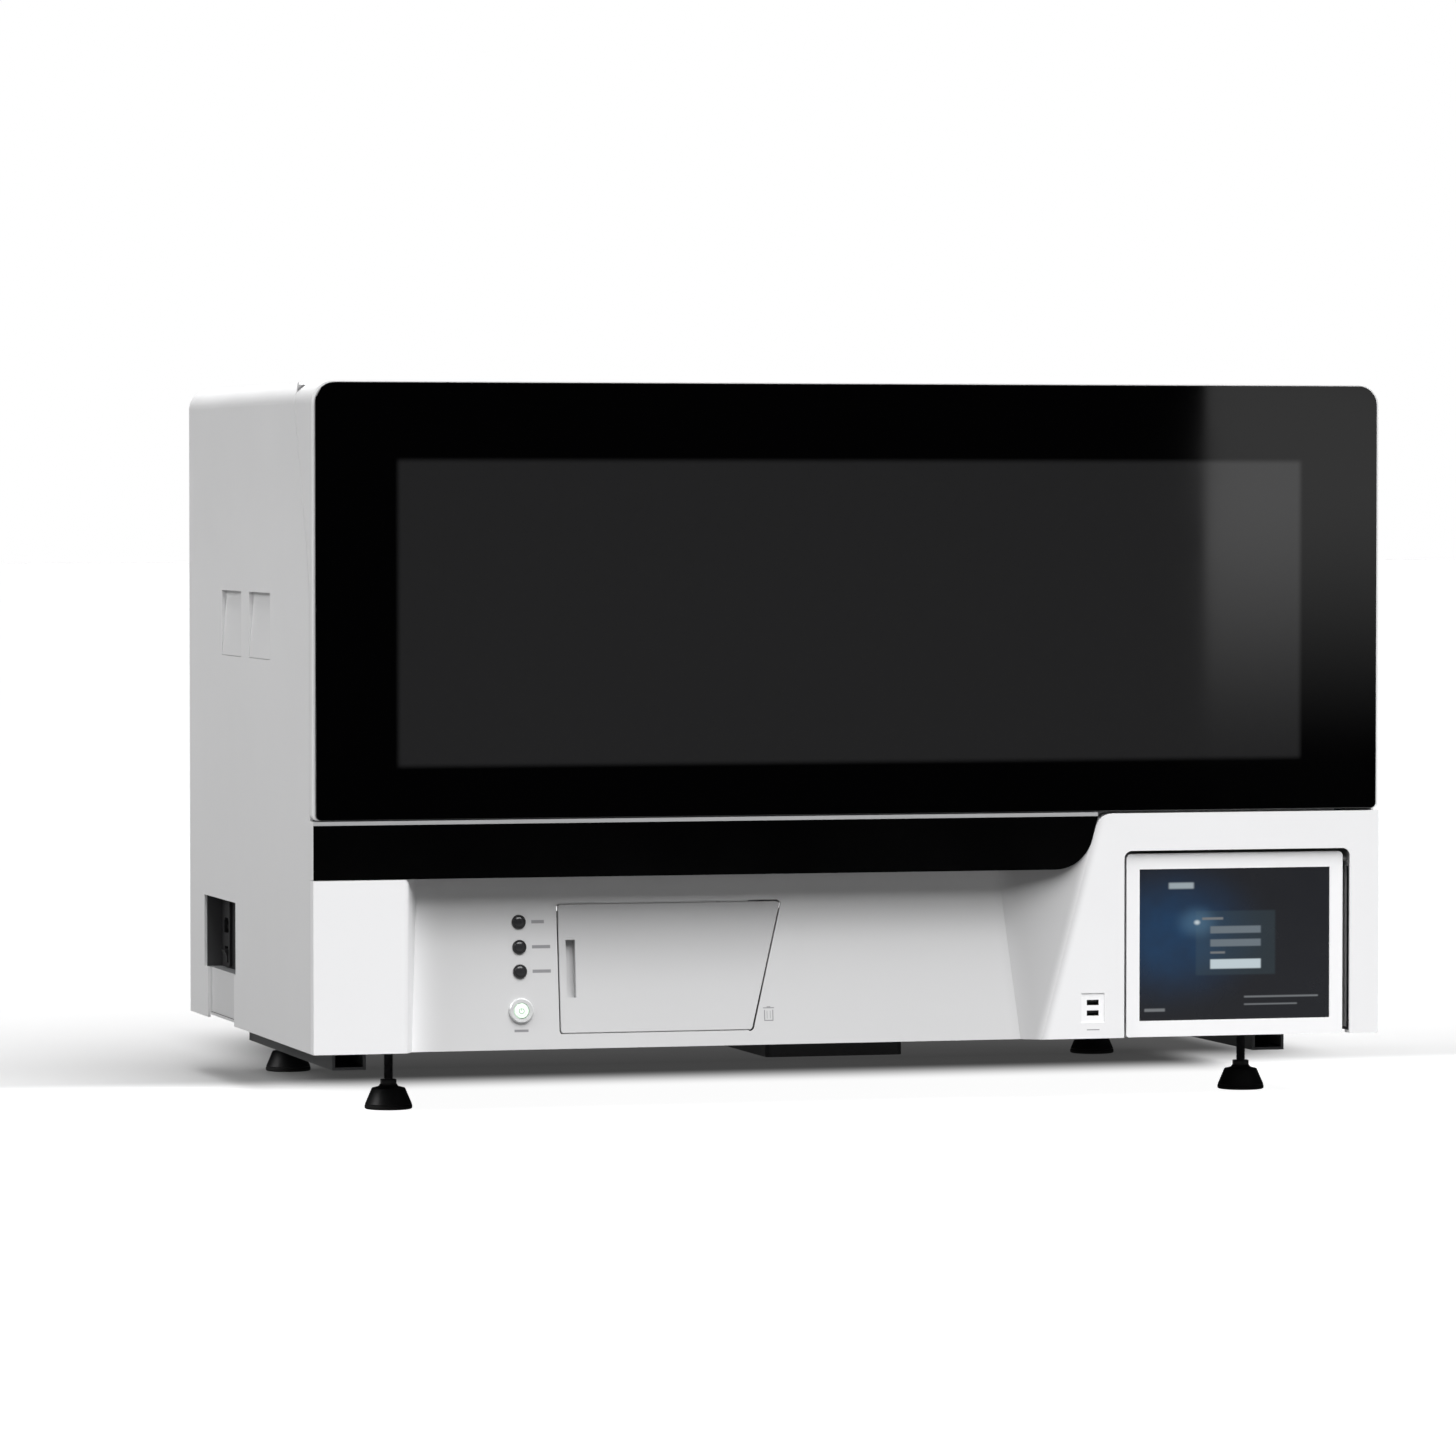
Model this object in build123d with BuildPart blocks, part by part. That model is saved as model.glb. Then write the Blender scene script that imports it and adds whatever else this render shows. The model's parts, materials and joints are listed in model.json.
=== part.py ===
from build123d import *
import os
from math import cos, radians, sin, tan

os.makedirs("parts", exist_ok=True)

# A bench-top nucleic acid extractor. Millimetres, +Z up, +X to the user's
# right, +Y to the back. The origin is on the bench, under the middle.

# Overall sizes
width = 1160.0              # over the side panels
depth = 666.0               # front glass to rear panel
height = 758.0              # bench to top cover
ground_gap = 68.0           # bench to the underside of the casing

# Clearances
seam_gap = 1.5              # moving cover to fixed cover
cover_gap = 0.5             # fixed cover to fixed cover
slide_gap = 0.4             # between sliding bodies
body_gap = 0.5              # between a moving body and what it closes on
pin_clearance = 0.05        # radial, pin in its bore

# Covers
cover_wall = 3.0
side_edge_radius = 22.0     # rounding along the top of each side
rear_edge_radius = 16.0     # rounding round the rear face
flange_width = 26.0         # side panel's return onto top and rear
fascia_return = 15.0        # how far the front mouldings wrap round the sides

# Front door
door_bottom = 308.0
glass_thickness = 4.0
glass_inset = 3.0           # side rim of the door frame outside the glass
glass_top_inset = 1.0
door_bottom_radius = 6.0
window_width = 981.0
window_bottom = 363.0
window_height = 314.0
hinge_axis_back = 80.0      # hinge axis behind the front glass
hinge_radius = 12.0         # rounded rear edge of the door, about its hinge
cheek_lean = 22.0           # degrees from upright, upper rear edge of the door
cheek_blend = 250.0         # blend between its upright and leaning stretches
door_pin_radius = 4.0
knuckle_radius = 8.0
knuckle_length = 30.0
hinge_spread = 420.0        # outer hinges from the middle
ear_width = 8.0

# Lower front
band_bottom = 247.0
band_top = 303.0
band_skin = 4.0
band_corner_radius = 42.0
trim_height = 4.0
fascia_top = 305.5
fascia_corner_radius = 20.0
fascia_edge_foot = 203.0    # X of the slanted fascia edge at the casing's underside
fascia_edge_lean = 14.9     # degrees from upright
pillar_width = 99.0         # left pillar, beside the scoop
scoop_foot_depth = 14.0
scoop_lean = 6.4            # degrees that the scoop's back leans away
scoop_left_slope = 0.5      # sideways run of the scoop's left wall per unit of depth
scoop_ramp_foot = 19.0      # width of the right ramp at the foot
scoop_ramp_growth = 0.372   # widening of the right ramp per unit of height
scoop_outer_radius = 7.0

# Waste hatch, on the scoop's back
hatch_left = -315.0
hatch_bottom = 84.0
hatch_top = 217.0
hatch_right_foot = -109.5
hatch_right_top = -75.0
hatch_thickness = 3.0
hatch_pivot_x = -140.0
hatch_pivot_back = 5.0      # pivot axis behind the hatch's inner face
hatch_pin_radius = 2.0
lug_radius = 4.2
lug_height = 9.0
pull_width = 10.0
pull_height = 60.0
pull_depth = 9.0
pull_inset = 7.5
bin_wall = 2.0
bin_depth = 230.0

# Controls
lamp_x = -357.0
lamp_heights = (199.5, 173.7, 148.5)
lamp_radius = 7.4
lamp_stem_radius = 5.0
lamp_length = 8.0
button_height = 108.0
button_ring_radius = 13.0
button_radius = 8.0
usb_x = 259.7
usb_height = 100.5
usb_plate_width = 25.5
usb_plate_height = 31.0
usb_pitch = 11.1
usb_slot_width = 13.1
usb_slot_height = 5.6

# Touch screen
screen_left = 298.6
screen_right = 541.3
screen_top = 262.2
screen_side_gap = 4.1
screen_top_gap = 3.5
screen_corner_radius = 5.0
screen_chin_radius = 3.0
screen_recess = 5.0
screen_thickness = 26.0
screen_pivot_radius = 8.0
screen_pin_radius = 3.0
display_width = 213.6
display_height = 160.8
display_drop = 16.5         # display's top edge below the bezel's top edge
bezel_lip = 2.0

# Left side: connector bay, cable channel and finger recesses, measured back from the glass
bay_front = 400.0
bay_rear = 571.0
bay_bottom = 123.0
bay_top = 202.0
bay_depth = 20.0
bay_wall = 2.0
inlet_inset = 38.0          # middle of the mains inlet ahead of the bay's rear end
inlet_z = 170.0
inlet_half_width = 14.0
socket_size = (24.0, 16.5)
socket_depth = 16.0
rocker_z = 138.0
rocker_half_width = 9.0
rocker_half_height = 7.0
rocker_pin_radius = 1.2
ports_inset = 45.0          # middle of the data ports behind the bay's front end
ports_half_width = 34.0
ports_bottom = 150.0
ports_top = 192.0
network_slot = (16.0, 14.0)
channel_front = 409.0
channel_rear = 552.0
channel_depth = 5.0
grip_spans = ((214.0, 323.5), (366.0, 469.0))
grip_bottom = 468.0
grip_top = 538.5
grip_depth = 5.0
grip_ledge = 8.0            # height of the recess at its full depth
grip_rim = 6.0
switch_throw = 24.0         # degrees between the rocker's two rests

# Feet
foot_x = 472.0
foot_front = 131.8          # behind the front glass
foot_rear_inset = 27.3      # rear feet ahead of the rear panel
foot_pad_radius = 25.0
foot_stem_radius = 5.0
foot_stem_top = 94.0
nut_height = 8.0

# Underside
rail_inner = 492.0
rail_outer = 528.0
rail_bottom = 39.5
rail_wall = 3.0
rail_front = 150.0
rail_rear = 580.0
pan_left = -43.0
pan_right = 109.0
pan_front = 195.0
pan_rear = 450.0
pan_slot = (90.0, 5.0)
floor_vent_x = 250.0
floor_vent_y = 60.0
floor_vent_slot = (160.0, 8.0)
floor_vent_pitch = 26.0
floor_vent_count = 7
tab_height = 8.0            # upturned front edge of the base plate

# Frame and chamber
tube = 40.0                 # square frame tube
tube_wall = 3.0
post_front = 95.0           # front posts behind the front glass
rim_depth = 18.0            # chamber's front rim behind the front glass
floor_sheet = 3.0
deck_top = 296.0
deck_thickness = 4.0
chamber_back = 150.0        # Y of the chamber's rear wall
liner = 2.0
chamber_vent_z = 450.0
chamber_vent_slot = (220.0, 7.0)
chamber_vent_pitch = 16.0
chamber_vent_count = 8
sill_front = 40.0           # sill beam behind the front glass

# Rear panel and fans
fan_x = 300.0
fan_z = 560.0
fan_opening = 52.0
fan_half = 60.0
fan_depth = 25.0
fan_hub_radius = 20.0
blade_count = 7
louvre_rows = 8
louvre_pitch = 16.0
louvre_slot = (200.0, 6.0)
screw_radius = 3.5
screw_sink = 1.6

# Microplates
plate_length = 127.8
plate_width = 85.6
plate_clearance = 0.6
nest_size = (140.0, 98.0)
nest_columns = 3
nest_x = -330.0
nest_y = -90.0
nest_pitch_x = 165.0
nest_pitch_y = 125.0
nest_height = 8.0
guide_thickness = 4.0
guide_height = 8.0
heater_size = (136.0, 94.0)
heater_height = 34.0
heater_recess = 5.0

# Pipetting gantry
arm_length = 330.0
arm_bottom = 612.0
gantry_rest_x = -400.0      # parked carriage
channel_pitch = 9.0
channel_count = 8
carriage_half = 45.0
arm_half = 18.0
head_bottom = 500.0
channel_length = 46.0

# Magnetic rod unit
magnet_x = 330.0
magnet_y = 0.0
well_pitch = 18.0
well_columns = 6
well_rows = 4
magnet_rod_radius = 3.0
column_half = 60.0
rod_plate_z = 610.0
rod_length = 96.0
sleeve_z = 500.0

# Behind and above the chamber
uv_y = -60.0
uv_half = 300.0
filter_bottom = 360.0
supply_left = 280.0
supply_rear = 63.0          # power supply ahead of the rear panel
supply_size = (200.0, 100.0, 56.0)

front = -depth / 2
back = depth / 2
half = width / 2
inner_half = half - cover_wall
floor_z = ground_gap + cover_wall
floor_top = floor_z + floor_sheet
skin_back = front + cover_wall
return_back = front + fascia_return
rim_front = front + rim_depth
front_plane = Plane.XZ.offset(depth / 2)


def block(x_span, y_span, z_span, mode=Mode.ADD):
    """A box given by its two limits along each axis."""
    spans = (x_span, y_span, z_span)
    with Locations(tuple((a + b) / 2 for a, b in spans)):
        Box(*(abs(b - a) for a, b in spans), mode=mode)


def rod(start, direction, radius, length, mode=Mode.ADD):
    """A cylinder that starts at a point and runs along a direction."""
    with Locations(Plane(origin=start, z_dir=direction).location):
        Cylinder(radius, length, align=(Align.CENTER, Align.CENTER, Align.MIN), mode=mode)


# ---------------------------------------------------------------- forms shared by the covers

hinge_y = front + hinge_axis_back
hinge_z = height - hinge_radius
top_front = hinge_y + hinge_radius + seam_gap


def door_side(gap):
    """Side outline of the door, grown by a gap: upright, leaning, then round about the hinge."""
    radius = hinge_radius + gap
    lean = radians(cheek_lean)
    touch = (hinge_y + radius * cos(lean), hinge_z - radius * sin(lean))
    rear = return_back + gap
    knee = (rear, touch[1] - (touch[0] - rear) / tan(lean))
    low = (rear, door_bottom - gap)
    top = height + 2 * gap
    with BuildSketch(Plane.YZ) as outline:
        with BuildLine():
            FilletPolyline(low, knee, touch, radius=cheek_blend)
            Polyline(touch, (hinge_y, hinge_z), (hinge_y, top), (front - gap, top),
                     (front - gap, low[1]), low)
        make_face()
        with Locations((hinge_y, hinge_z)):
            Circle(radius)
    return outline.sketch


def casing_form(inset):
    """The casing's outer form shrunk by an inset, running out past the front and the floor."""
    with BuildPart() as form:
        block((inset - half, half - inset), (front - 50, back - inset),
              (ground_gap - 50, height - inset))
        fillet(form.edges().filter_by(Axis.Y).group_by(Axis.Z)[-1], side_edge_radius - inset)
        rear_edges = form.faces().sort_by(Axis.Y)[-1].edges().sort_by(Axis.Z)[1:]
        fillet(rear_edges, rear_edge_radius - inset)
    return form.part


# What the covers leave free for the door, closed or swinging up past its hinge.
with BuildPart() as door_room:
    extrude(door_side(seam_gap), width, both=True)
    block((-width, width), (hinge_y, top_front), (hinge_z, height + 1))
shell = casing_form(0) - casing_form(cover_wall)


def side_panel(side):
    """One side cover with its returns and the two cut-outs for its finger grips."""
    with BuildPart() as panel:
        add(shell)
        edges = (side * (half - flange_width), side * (half + 1))
        block(edges, (return_back + cover_gap, back + 1), (ground_gap, height + 1), Mode.INTERSECT)
        add(door_room.part, mode=Mode.SUBTRACT)
        for near, far in grip_spans:
            skin = (side * (inner_half - 1), side * (half + 1))
            block(skin, (front + near, front + far), (grip_bottom, grip_top), Mode.SUBTRACT)
    return panel.part


# ---------------------------------------------------------------- covers

with BuildPart() as right_side_panel:
    add(side_panel(1))

with BuildPart() as left_side_panel:
    add(side_panel(-1))
    side_skin = (-half - 1, 1 - inner_half)
    block(side_skin, (front + bay_front, front + bay_rear), (bay_bottom, bay_top), Mode.SUBTRACT)
    block(side_skin, (front + channel_front, front + channel_rear),
          (ground_gap - 1, bay_bottom + 1), Mode.SUBTRACT)

# Four moulded cups seat on the insides of the side panels. Each floor slopes in
# from the panel's face to a ledge that the fingertips lift on.
cup_back = half - grip_depth - cover_wall
with BuildPart() as finger_grips:
    for side in (-1, 1):
        for near, far in grip_spans:
            block((side * cup_back, side * inner_half),
                  (front + near - grip_rim, front + far + grip_rim),
                  (grip_bottom - grip_rim, grip_top + grip_rim))
            block((side * inner_half, side * half), (front + near + cover_gap, front + far - cover_gap),
                  (grip_bottom + cover_gap, grip_bottom + grip_depth))
            middle = front + (near + far) / 2
            with BuildSketch(Plane.XZ.offset(-middle)):
                Polygon(
                    (side * cup_back, grip_bottom + grip_depth),
                    (side * half, grip_bottom + grip_depth),
                    (side * inner_half, grip_top - grip_ledge),
                    (side * cup_back, grip_top - grip_ledge),
                    align=None,
                )
            extrude(amount=(far - near) / 2 - cover_gap, both=True)
            with BuildSketch(Plane.XZ.offset(-middle)):
                Polygon(
                    (side * (half + 0.1), grip_bottom),
                    (side * (half - grip_depth), grip_top - grip_ledge),
                    (side * (half - grip_depth), grip_top),
                    (side * (half + 0.1), grip_top),
                    align=None,
                )
            extrude(amount=(far - near) / 2, both=True, mode=Mode.SUBTRACT)

# Between the side panels' returns: the lid-like top cover, and the louvred rear panel.
cover_half = half - flange_width - cover_gap
cover_seam_z = height - flange_width
with BuildPart() as top_cover:
    add(shell)
    block((-cover_half, cover_half), (top_front, back + 1), (cover_seam_z, height + 1), Mode.INTERSECT)

screw_places = [(x, z) for x in (14 - cover_half, cover_half - 14) for z in (110, 330, 520, 700)]
with BuildPart() as rear_panel:
    block((-cover_half, cover_half), (back - cover_wall, back), (ground_gap, cover_seam_z - cover_gap))
    with BuildSketch(Plane.XZ.offset(-back)):
        with Locations((-fan_x, fan_z), (fan_x, fan_z)):
            Circle(fan_opening)
            Rectangle(2 * fan_opening + 2, 5, mode=Mode.SUBTRACT)
            Rectangle(5, 2 * fan_opening + 2, mode=Mode.SUBTRACT)
            Circle(fan_hub_radius, mode=Mode.SUBTRACT)
        with Locations((0, 230)):
            with GridLocations(louvre_slot[0] + 40, louvre_pitch, 2, louvre_rows):
                SlotOverall(*louvre_slot)
    extrude(amount=cover_wall, mode=Mode.SUBTRACT)
    for x, z in screw_places:
        rod((x, back + 1, z), (0, -1, 0), screw_radius + 0.2, screw_sink + 1, Mode.SUBTRACT)

# ---------------------------------------------------------------- lower fascia

# The scoop is a ruled form between an upright front outline and a back outline on
# a plane that leans away, so its right-hand ramp twists as it widens upwards.
fascia_slope = tan(radians(fascia_edge_lean))
lean = radians(scoop_lean)
scoop_up = Vector(0, sin(lean), cos(lean))
scoop_out = Vector(0, -cos(lean), sin(lean))
pillar_edge = pillar_width - half


def scoop_plane(behind=0.0):
    """The plane of the scoop's back, moved back into the casing by a distance."""
    origin = Vector(0, front + scoop_foot_depth, ground_gap) - scoop_out * behind
    return Plane(origin=origin, x_dir=(1, 0, 0), z_dir=scoop_out)


def scoop_point(x, z, behind=0.0):
    """The point on (or behind) the scoop's back at a given X and height."""
    return scoop_plane(behind).from_local_coords((x, (z - ground_gap) / cos(lean), 0))


def on_scoop(x, z):
    """Sketch coordinates on the scoop's back of a given X and height."""
    return (x, (z - ground_gap) / cos(lean))


def fascia_edge(z):
    return fascia_edge_foot + (z - ground_gap) * fascia_slope


def ramp_edge(z):
    rise = z - ground_gap
    return fascia_edge(z) - scoop_ramp_foot - rise * scoop_ramp_growth


def left_ramp(z, grow):
    """X of the scoop's left wall where it meets the (grown) back at a given height."""
    depth_there = scoop_foot_depth + grow + (z - ground_gap) * tan(lean)
    return pillar_edge - grow + scoop_left_slope * depth_there


def scoop_form(grow, low, high):
    """The scoop as a solid, grown sideways and backwards by a wall."""
    with BuildPart() as form:
        with BuildSketch(front_plane):
            Polygon(
                (pillar_edge - grow, low),
                (fascia_edge(low) + grow, low),
                (fascia_edge(high) + grow, high),
                (pillar_edge - grow, high),
                align=None,
            )
        with BuildSketch(scoop_plane(grow)):
            Polygon(
                on_scoop(left_ramp(low, grow), low),
                on_scoop(ramp_edge(low) + grow, low),
                on_scoop(ramp_edge(high) + grow, high),
                on_scoop(left_ramp(high, grow), high),
                align=None,
            )
        loft(ruled=True)
    return form.part


fascia_low_top = band_bottom - cover_gap
screen_notch = (screen_left - screen_side_gap, screen_right + screen_side_gap + 2.5)
screen_notch_top = screen_top + screen_top_gap


def fascia_outline(inset, behind):
    """Front outline of the fascia: low on the left, rising along a slant to the full height."""
    right = half - inset
    shift = inset / cos(radians(fascia_edge_lean))
    low = ground_gap + inset
    shoulder = fascia_low_top - inset
    top = fascia_top - inset
    with BuildSketch(front_plane.offset(-behind)) as outline:
        with BuildLine():
            FilletPolyline(
                (-right, shoulder),
                (fascia_edge(shoulder) + shift, shoulder),
                (fascia_edge(top) + shift, top),
                (right, top),
                radius=(band_corner_radius + cover_gap + inset, fascia_corner_radius - inset),
            )
            Polyline((right, top), (right, low), (-right, low), (-right, shoulder))
        make_face()
    return outline.sketch


def hatch_outline(grow, behind):
    """The waste hatch's four-cornered outline on the scoop's back, grown all round."""
    with BuildSketch(scoop_plane(behind)) as outline:
        Polygon(
            on_scoop(hatch_left - grow, hatch_bottom - grow),
            on_scoop(hatch_right_foot + grow, hatch_bottom - grow),
            on_scoop(hatch_right_top + grow, hatch_top + grow),
            on_scoop(hatch_left - grow, hatch_top + grow),
            align=None,
        )
        fillet(outline.vertices(), 3 + grow)
    return outline.sketch


lamp_points = [on_scoop(lamp_x, z) for z in lamp_heights]
button_point = on_scoop(lamp_x, button_height)

# What is shaved off the pillar's corner to round it into the scoop's left wall.
lip_reach = 1.5 * scoop_outer_radius
lip_corner = Plane.XY.offset(ground_gap - 1) * Polygon(
    (pillar_edge - lip_reach, front),
    (pillar_edge, front),
    (pillar_edge + scoop_left_slope * lip_reach, front + lip_reach),
    align=None,
)
lip_round = fillet(lip_corner.vertices().sort_by(Axis.X)[1], scoop_outer_radius)
lip_cut = extrude(lip_corner - lip_round, fascia_low_top - ground_gap + 2)

# The ramp runs on past the band's rounded corner, up to where that corner meets the slant.
scoop_high = fascia_low_top + band_corner_radius
deep = scoop_foot_depth + scoop_high * tan(lean) + 2 * cover_wall
scoop_walls = scoop_form(cover_wall, ground_gap, scoop_high) & extrude(fascia_outline(0, 0), -deep)
fascia_hollow = extrude(fascia_outline(cover_wall, cover_wall), -fascia_return) - scoop_walls
with BuildPart() as lower_fascia:
    extrude(fascia_outline(0, 0), -fascia_return)
    add(scoop_walls)
    add(scoop_form(0, ground_gap - 20, scoop_high + 20), mode=Mode.SUBTRACT)
    add(lip_cut, mode=Mode.SUBTRACT)
    add(fascia_hollow, mode=Mode.SUBTRACT)
    with BuildSketch(front_plane) as notch:
        with Locations(((screen_notch[0] + screen_notch[1]) / 2, screen_notch_top)):
            notch_size = (screen_notch[1] - screen_notch[0], screen_notch_top - ground_gap + 1)
            Rectangle(*notch_size, align=(Align.CENTER, Align.MAX))
        fillet(notch.vertices().group_by(Axis.Y)[-1], screen_corner_radius + screen_top_gap)
    extrude(amount=-fascia_return - 1, mode=Mode.SUBTRACT)
    extrude(hatch_outline(seam_gap, -1), -cover_wall - 2, mode=Mode.SUBTRACT)
    with BuildSketch(scoop_plane()):
        with Locations(*lamp_points):
            Circle(lamp_stem_radius)
        with Locations(button_point):
            Circle(button_ring_radius - 2)
    extrude(amount=-cover_wall, mode=Mode.SUBTRACT)
    with BuildSketch(front_plane):
        with Locations((usb_x, usb_height)):
            Rectangle(usb_plate_width, usb_plate_height)
    extrude(amount=-cover_wall, mode=Mode.SUBTRACT)

# The black band over the scoop: a moulding with a deep lower return that roofs the
# scoop and an upper return that carries the bright trim strip.
band_right = fascia_edge(band_top) - cover_gap
with BuildPart() as front_band:
    with BuildSketch(front_plane):
        with BuildLine():
            slant_foot = fascia_edge(band_bottom) - cover_gap
            FilletPolyline(
                (-half, band_bottom),
                (slant_foot, band_bottom),
                (band_right, band_top),
                radius=band_corner_radius,
            )
            Polyline((band_right, band_top), (-half, band_top), (-half, band_bottom))
        make_face()
    extrude(amount=-fascia_return)
    block((band_skin - half, band_right - 60), (front + band_skin, return_back),
          (band_bottom + 3, band_top - 3),
          Mode.SUBTRACT)
    block((-inner_half, slant_foot - band_corner_radius), (return_back, front + sill_front),
          (band_bottom, band_bottom + 3))
    block((-inner_half, band_right - 60), (return_back, rim_front + liner), (band_top - 3, band_top))

trim_bottom = band_top
with BuildPart() as trim_strip:
    block((-half, band_right), (front, front + fascia_return), (trim_bottom, trim_bottom + trim_height))

# ---------------------------------------------------------------- base

rear_inner = back - cover_wall
base_front = front + sill_front
inner_post = inner_half - tube
with BuildPart() as base_plate:
    block((-inner_half, inner_half), (base_front, rear_inner), (floor_z, floor_top))
    tabs = ((-inner_half, pillar_edge - cover_wall), (fascia_edge_foot + 3 * cover_wall, inner_half))
    for span in tabs:
        block(span, (skin_back, base_front), (floor_z, floor_top))
        block(span, (skin_back, skin_back + floor_sheet), (floor_top, floor_top + tab_height))
    block((-inner_post, inner_post), (rear_inner - floor_sheet, rear_inner),
          (floor_top, floor_top + 30))
    fillet(base_plate.edges().filter_by(Axis.Z).filter_by_position(Axis.Y, rear_inner - 1, rear_inner + 1)
           .filter_by(lambda e: abs(e.center().X) > inner_post + 1), rear_edge_radius - cover_wall)
    block((screen_notch[0], screen_notch[1]), (front, base_front), (floor_z, floor_top + 20),
          Mode.SUBTRACT)
    with BuildSketch(Plane.XY.offset(floor_z)):
        with Locations((-foot_x, front + foot_front), (foot_x, front + foot_front),
                       (-foot_x, back - foot_rear_inset), (foot_x, back - foot_rear_inset)):
            Circle(foot_stem_radius + pin_clearance)
        with Locations((-floor_vent_x, floor_vent_y), (floor_vent_x, floor_vent_y)):
            with GridLocations(floor_vent_pitch, 0, floor_vent_count, 1):
                SlotOverall(*floor_vent_slot, rotation=90)
    extrude(amount=floor_sheet, mode=Mode.SUBTRACT)

with BuildPart() as base_rails:
    for side in (-1, 1):
        with BuildSketch(Plane.XZ.offset(-(front + rail_front))):
            with Locations((side * (rail_inner + rail_outer) / 2, (rail_bottom + floor_z) / 2)):
                Rectangle(rail_outer - rail_inner, floor_z - rail_bottom)
            with Locations((side * (rail_inner + rail_outer) / 2, (rail_bottom + rail_wall + floor_z) / 2)):
                Rectangle(rail_outer - rail_inner - 2 * rail_wall, floor_z - rail_bottom - rail_wall,
                          mode=Mode.SUBTRACT)
        extrude(amount=-(rail_rear - rail_front))

# A shallow pan under the floor that covers the drain pump.
with BuildPart() as underside_cover:
    block((pan_left, pan_right), (front + pan_front, front + pan_rear), (rail_bottom, floor_z))
    fillet(underside_cover.edges().filter_by(Axis.Z), 6)
    offset(amount=-2, openings=underside_cover.faces().sort_by(Axis.Z)[-1:])
    with BuildSketch(Plane.XY.offset(rail_bottom)):
        with Locations(((pan_left + pan_right) / 2, front + (pan_front + pan_rear) / 2)):
            with GridLocations(0, 14, 1, 9):
                SlotOverall(*pan_slot)
    extrude(amount=4, mode=Mode.SUBTRACT)

feet = {}
for column, x in (("left", -foot_x), ("right", foot_x)):
    for row, y in (("front", front + foot_front), ("rear", back - foot_rear_inset)):
        with BuildPart() as foot:
            with BuildSketch(Plane(origin=(x, y, 0), x_dir=(1, 0, 0), z_dir=(0, -1, 0))):
                with BuildLine():
                    Polyline(
                        (0, 0),
                        (foot_pad_radius - 1, 0),
                        (foot_pad_radius, 1),
                        (foot_pad_radius, 5),
                        (foot_pad_radius - 7, 22),
                        (9, 23.5),
                        (9, 31),
                        (foot_stem_radius, 31),
                        (foot_stem_radius, foot_stem_top),
                        (0, foot_stem_top),
                        close=True,
                    )
                make_face()
            revolve(axis=Axis((x, y, 0), (0, 0, 1)))
        feet[f"foot_{row}_{column}"] = foot

with BuildPart() as foot_lock_nuts:
    with BuildSketch(Plane.XY.offset(floor_z - nut_height)):
        with Locations((-foot_x, front + foot_front), (foot_x, front + foot_front),
                       (-foot_x, back - foot_rear_inset), (foot_x, back - foot_rear_inset)):
            RegularPolygon(8.5, 6, major_radius=False)
            Circle(foot_stem_radius + pin_clearance, mode=Mode.SUBTRACT)
    extrude(amount=nut_height)

# ---------------------------------------------------------------- frame

post_y = front + post_front
rear_post_y = rear_inner - rear_edge_radius - tube
top_beam_z = height - cover_wall - tube
sill_z = deck_top - deck_thickness - tube
with BuildPart() as frame_posts:
    with BuildSketch(Plane.XY.offset(floor_top)):
        x = inner_half - tube / 2
        with Locations((-x, post_y + tube / 2), (x, post_y + tube / 2),
                       (-x, rear_post_y + tube / 2), (x, rear_post_y + tube / 2)):
            Rectangle(tube, tube)
            Rectangle(tube - 2 * tube_wall, tube - 2 * tube_wall, mode=Mode.SUBTRACT)
    extrude(amount=top_beam_z - floor_top)

beam_half = half - side_edge_radius - 2
with BuildPart() as frame_beams:
    block((-beam_half, beam_half), (post_y, post_y + tube), (top_beam_z, height - cover_wall))
    block((-beam_half, beam_half), (rear_post_y, rear_post_y + tube), (top_beam_z, height - cover_wall))
    block((-inner_half, inner_half), (front + sill_front, post_y), (sill_z, sill_z + tube))
    for side in (-1, 1):
        outer = side * inner_half
        block((side * inner_post, outer), (post_y + tube, rear_post_y), (sill_z, sill_z + tube))
    block((-inner_post, inner_post), (chamber_back, chamber_back + tube), (sill_z, sill_z + tube))

# ---------------------------------------------------------------- chamber

chamber_half = inner_post - liner
rim_outer = inner_half - 5.0
rim_top = top_beam_z - 5.0
with BuildPart() as work_deck:
    block((-inner_post, inner_post), (front + sill_front, chamber_back),
          (deck_top - deck_thickness, deck_top))
    block((-inner_post, inner_post), (rim_front + liner, front + sill_front),
          (deck_top - deck_thickness, deck_top))
    block((-inner_post, inner_post), (rim_front + liner, rim_front + 2 * liner),
          (deck_top, door_bottom + 6))

with BuildPart() as chamber_back_wall:
    block((-inner_post, inner_post), (chamber_back, chamber_back + liner),
          (deck_top - deck_thickness, top_beam_z))
    with BuildSketch(Plane.XZ.offset(-chamber_back)):
        with Locations((0, chamber_vent_z)):
            with GridLocations(0, chamber_vent_pitch, 1, chamber_vent_count):
                SlotOverall(*chamber_vent_slot)
    extrude(amount=-liner, mode=Mode.SUBTRACT)

with BuildPart() as chamber_side_walls:
    for side in (-1, 1):
        wall = (side * chamber_half, side * inner_post)
        block(wall, (rim_front + 2 * liner, chamber_back), (deck_top, top_beam_z - liner))
        block((side * chamber_half, side * rim_outer), (rim_front, rim_front + liner),
              (door_bottom + 6, rim_top))

with BuildPart() as chamber_ceiling:
    block((-inner_post, inner_post), (rim_front + 2 * liner, chamber_back),
          (top_beam_z - liner, top_beam_z))
    block((-chamber_half, chamber_half), (rim_front, rim_front + liner), (top_beam_z - 30, rim_top))


# ---------------------------------------------------------------- connector bay

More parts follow.
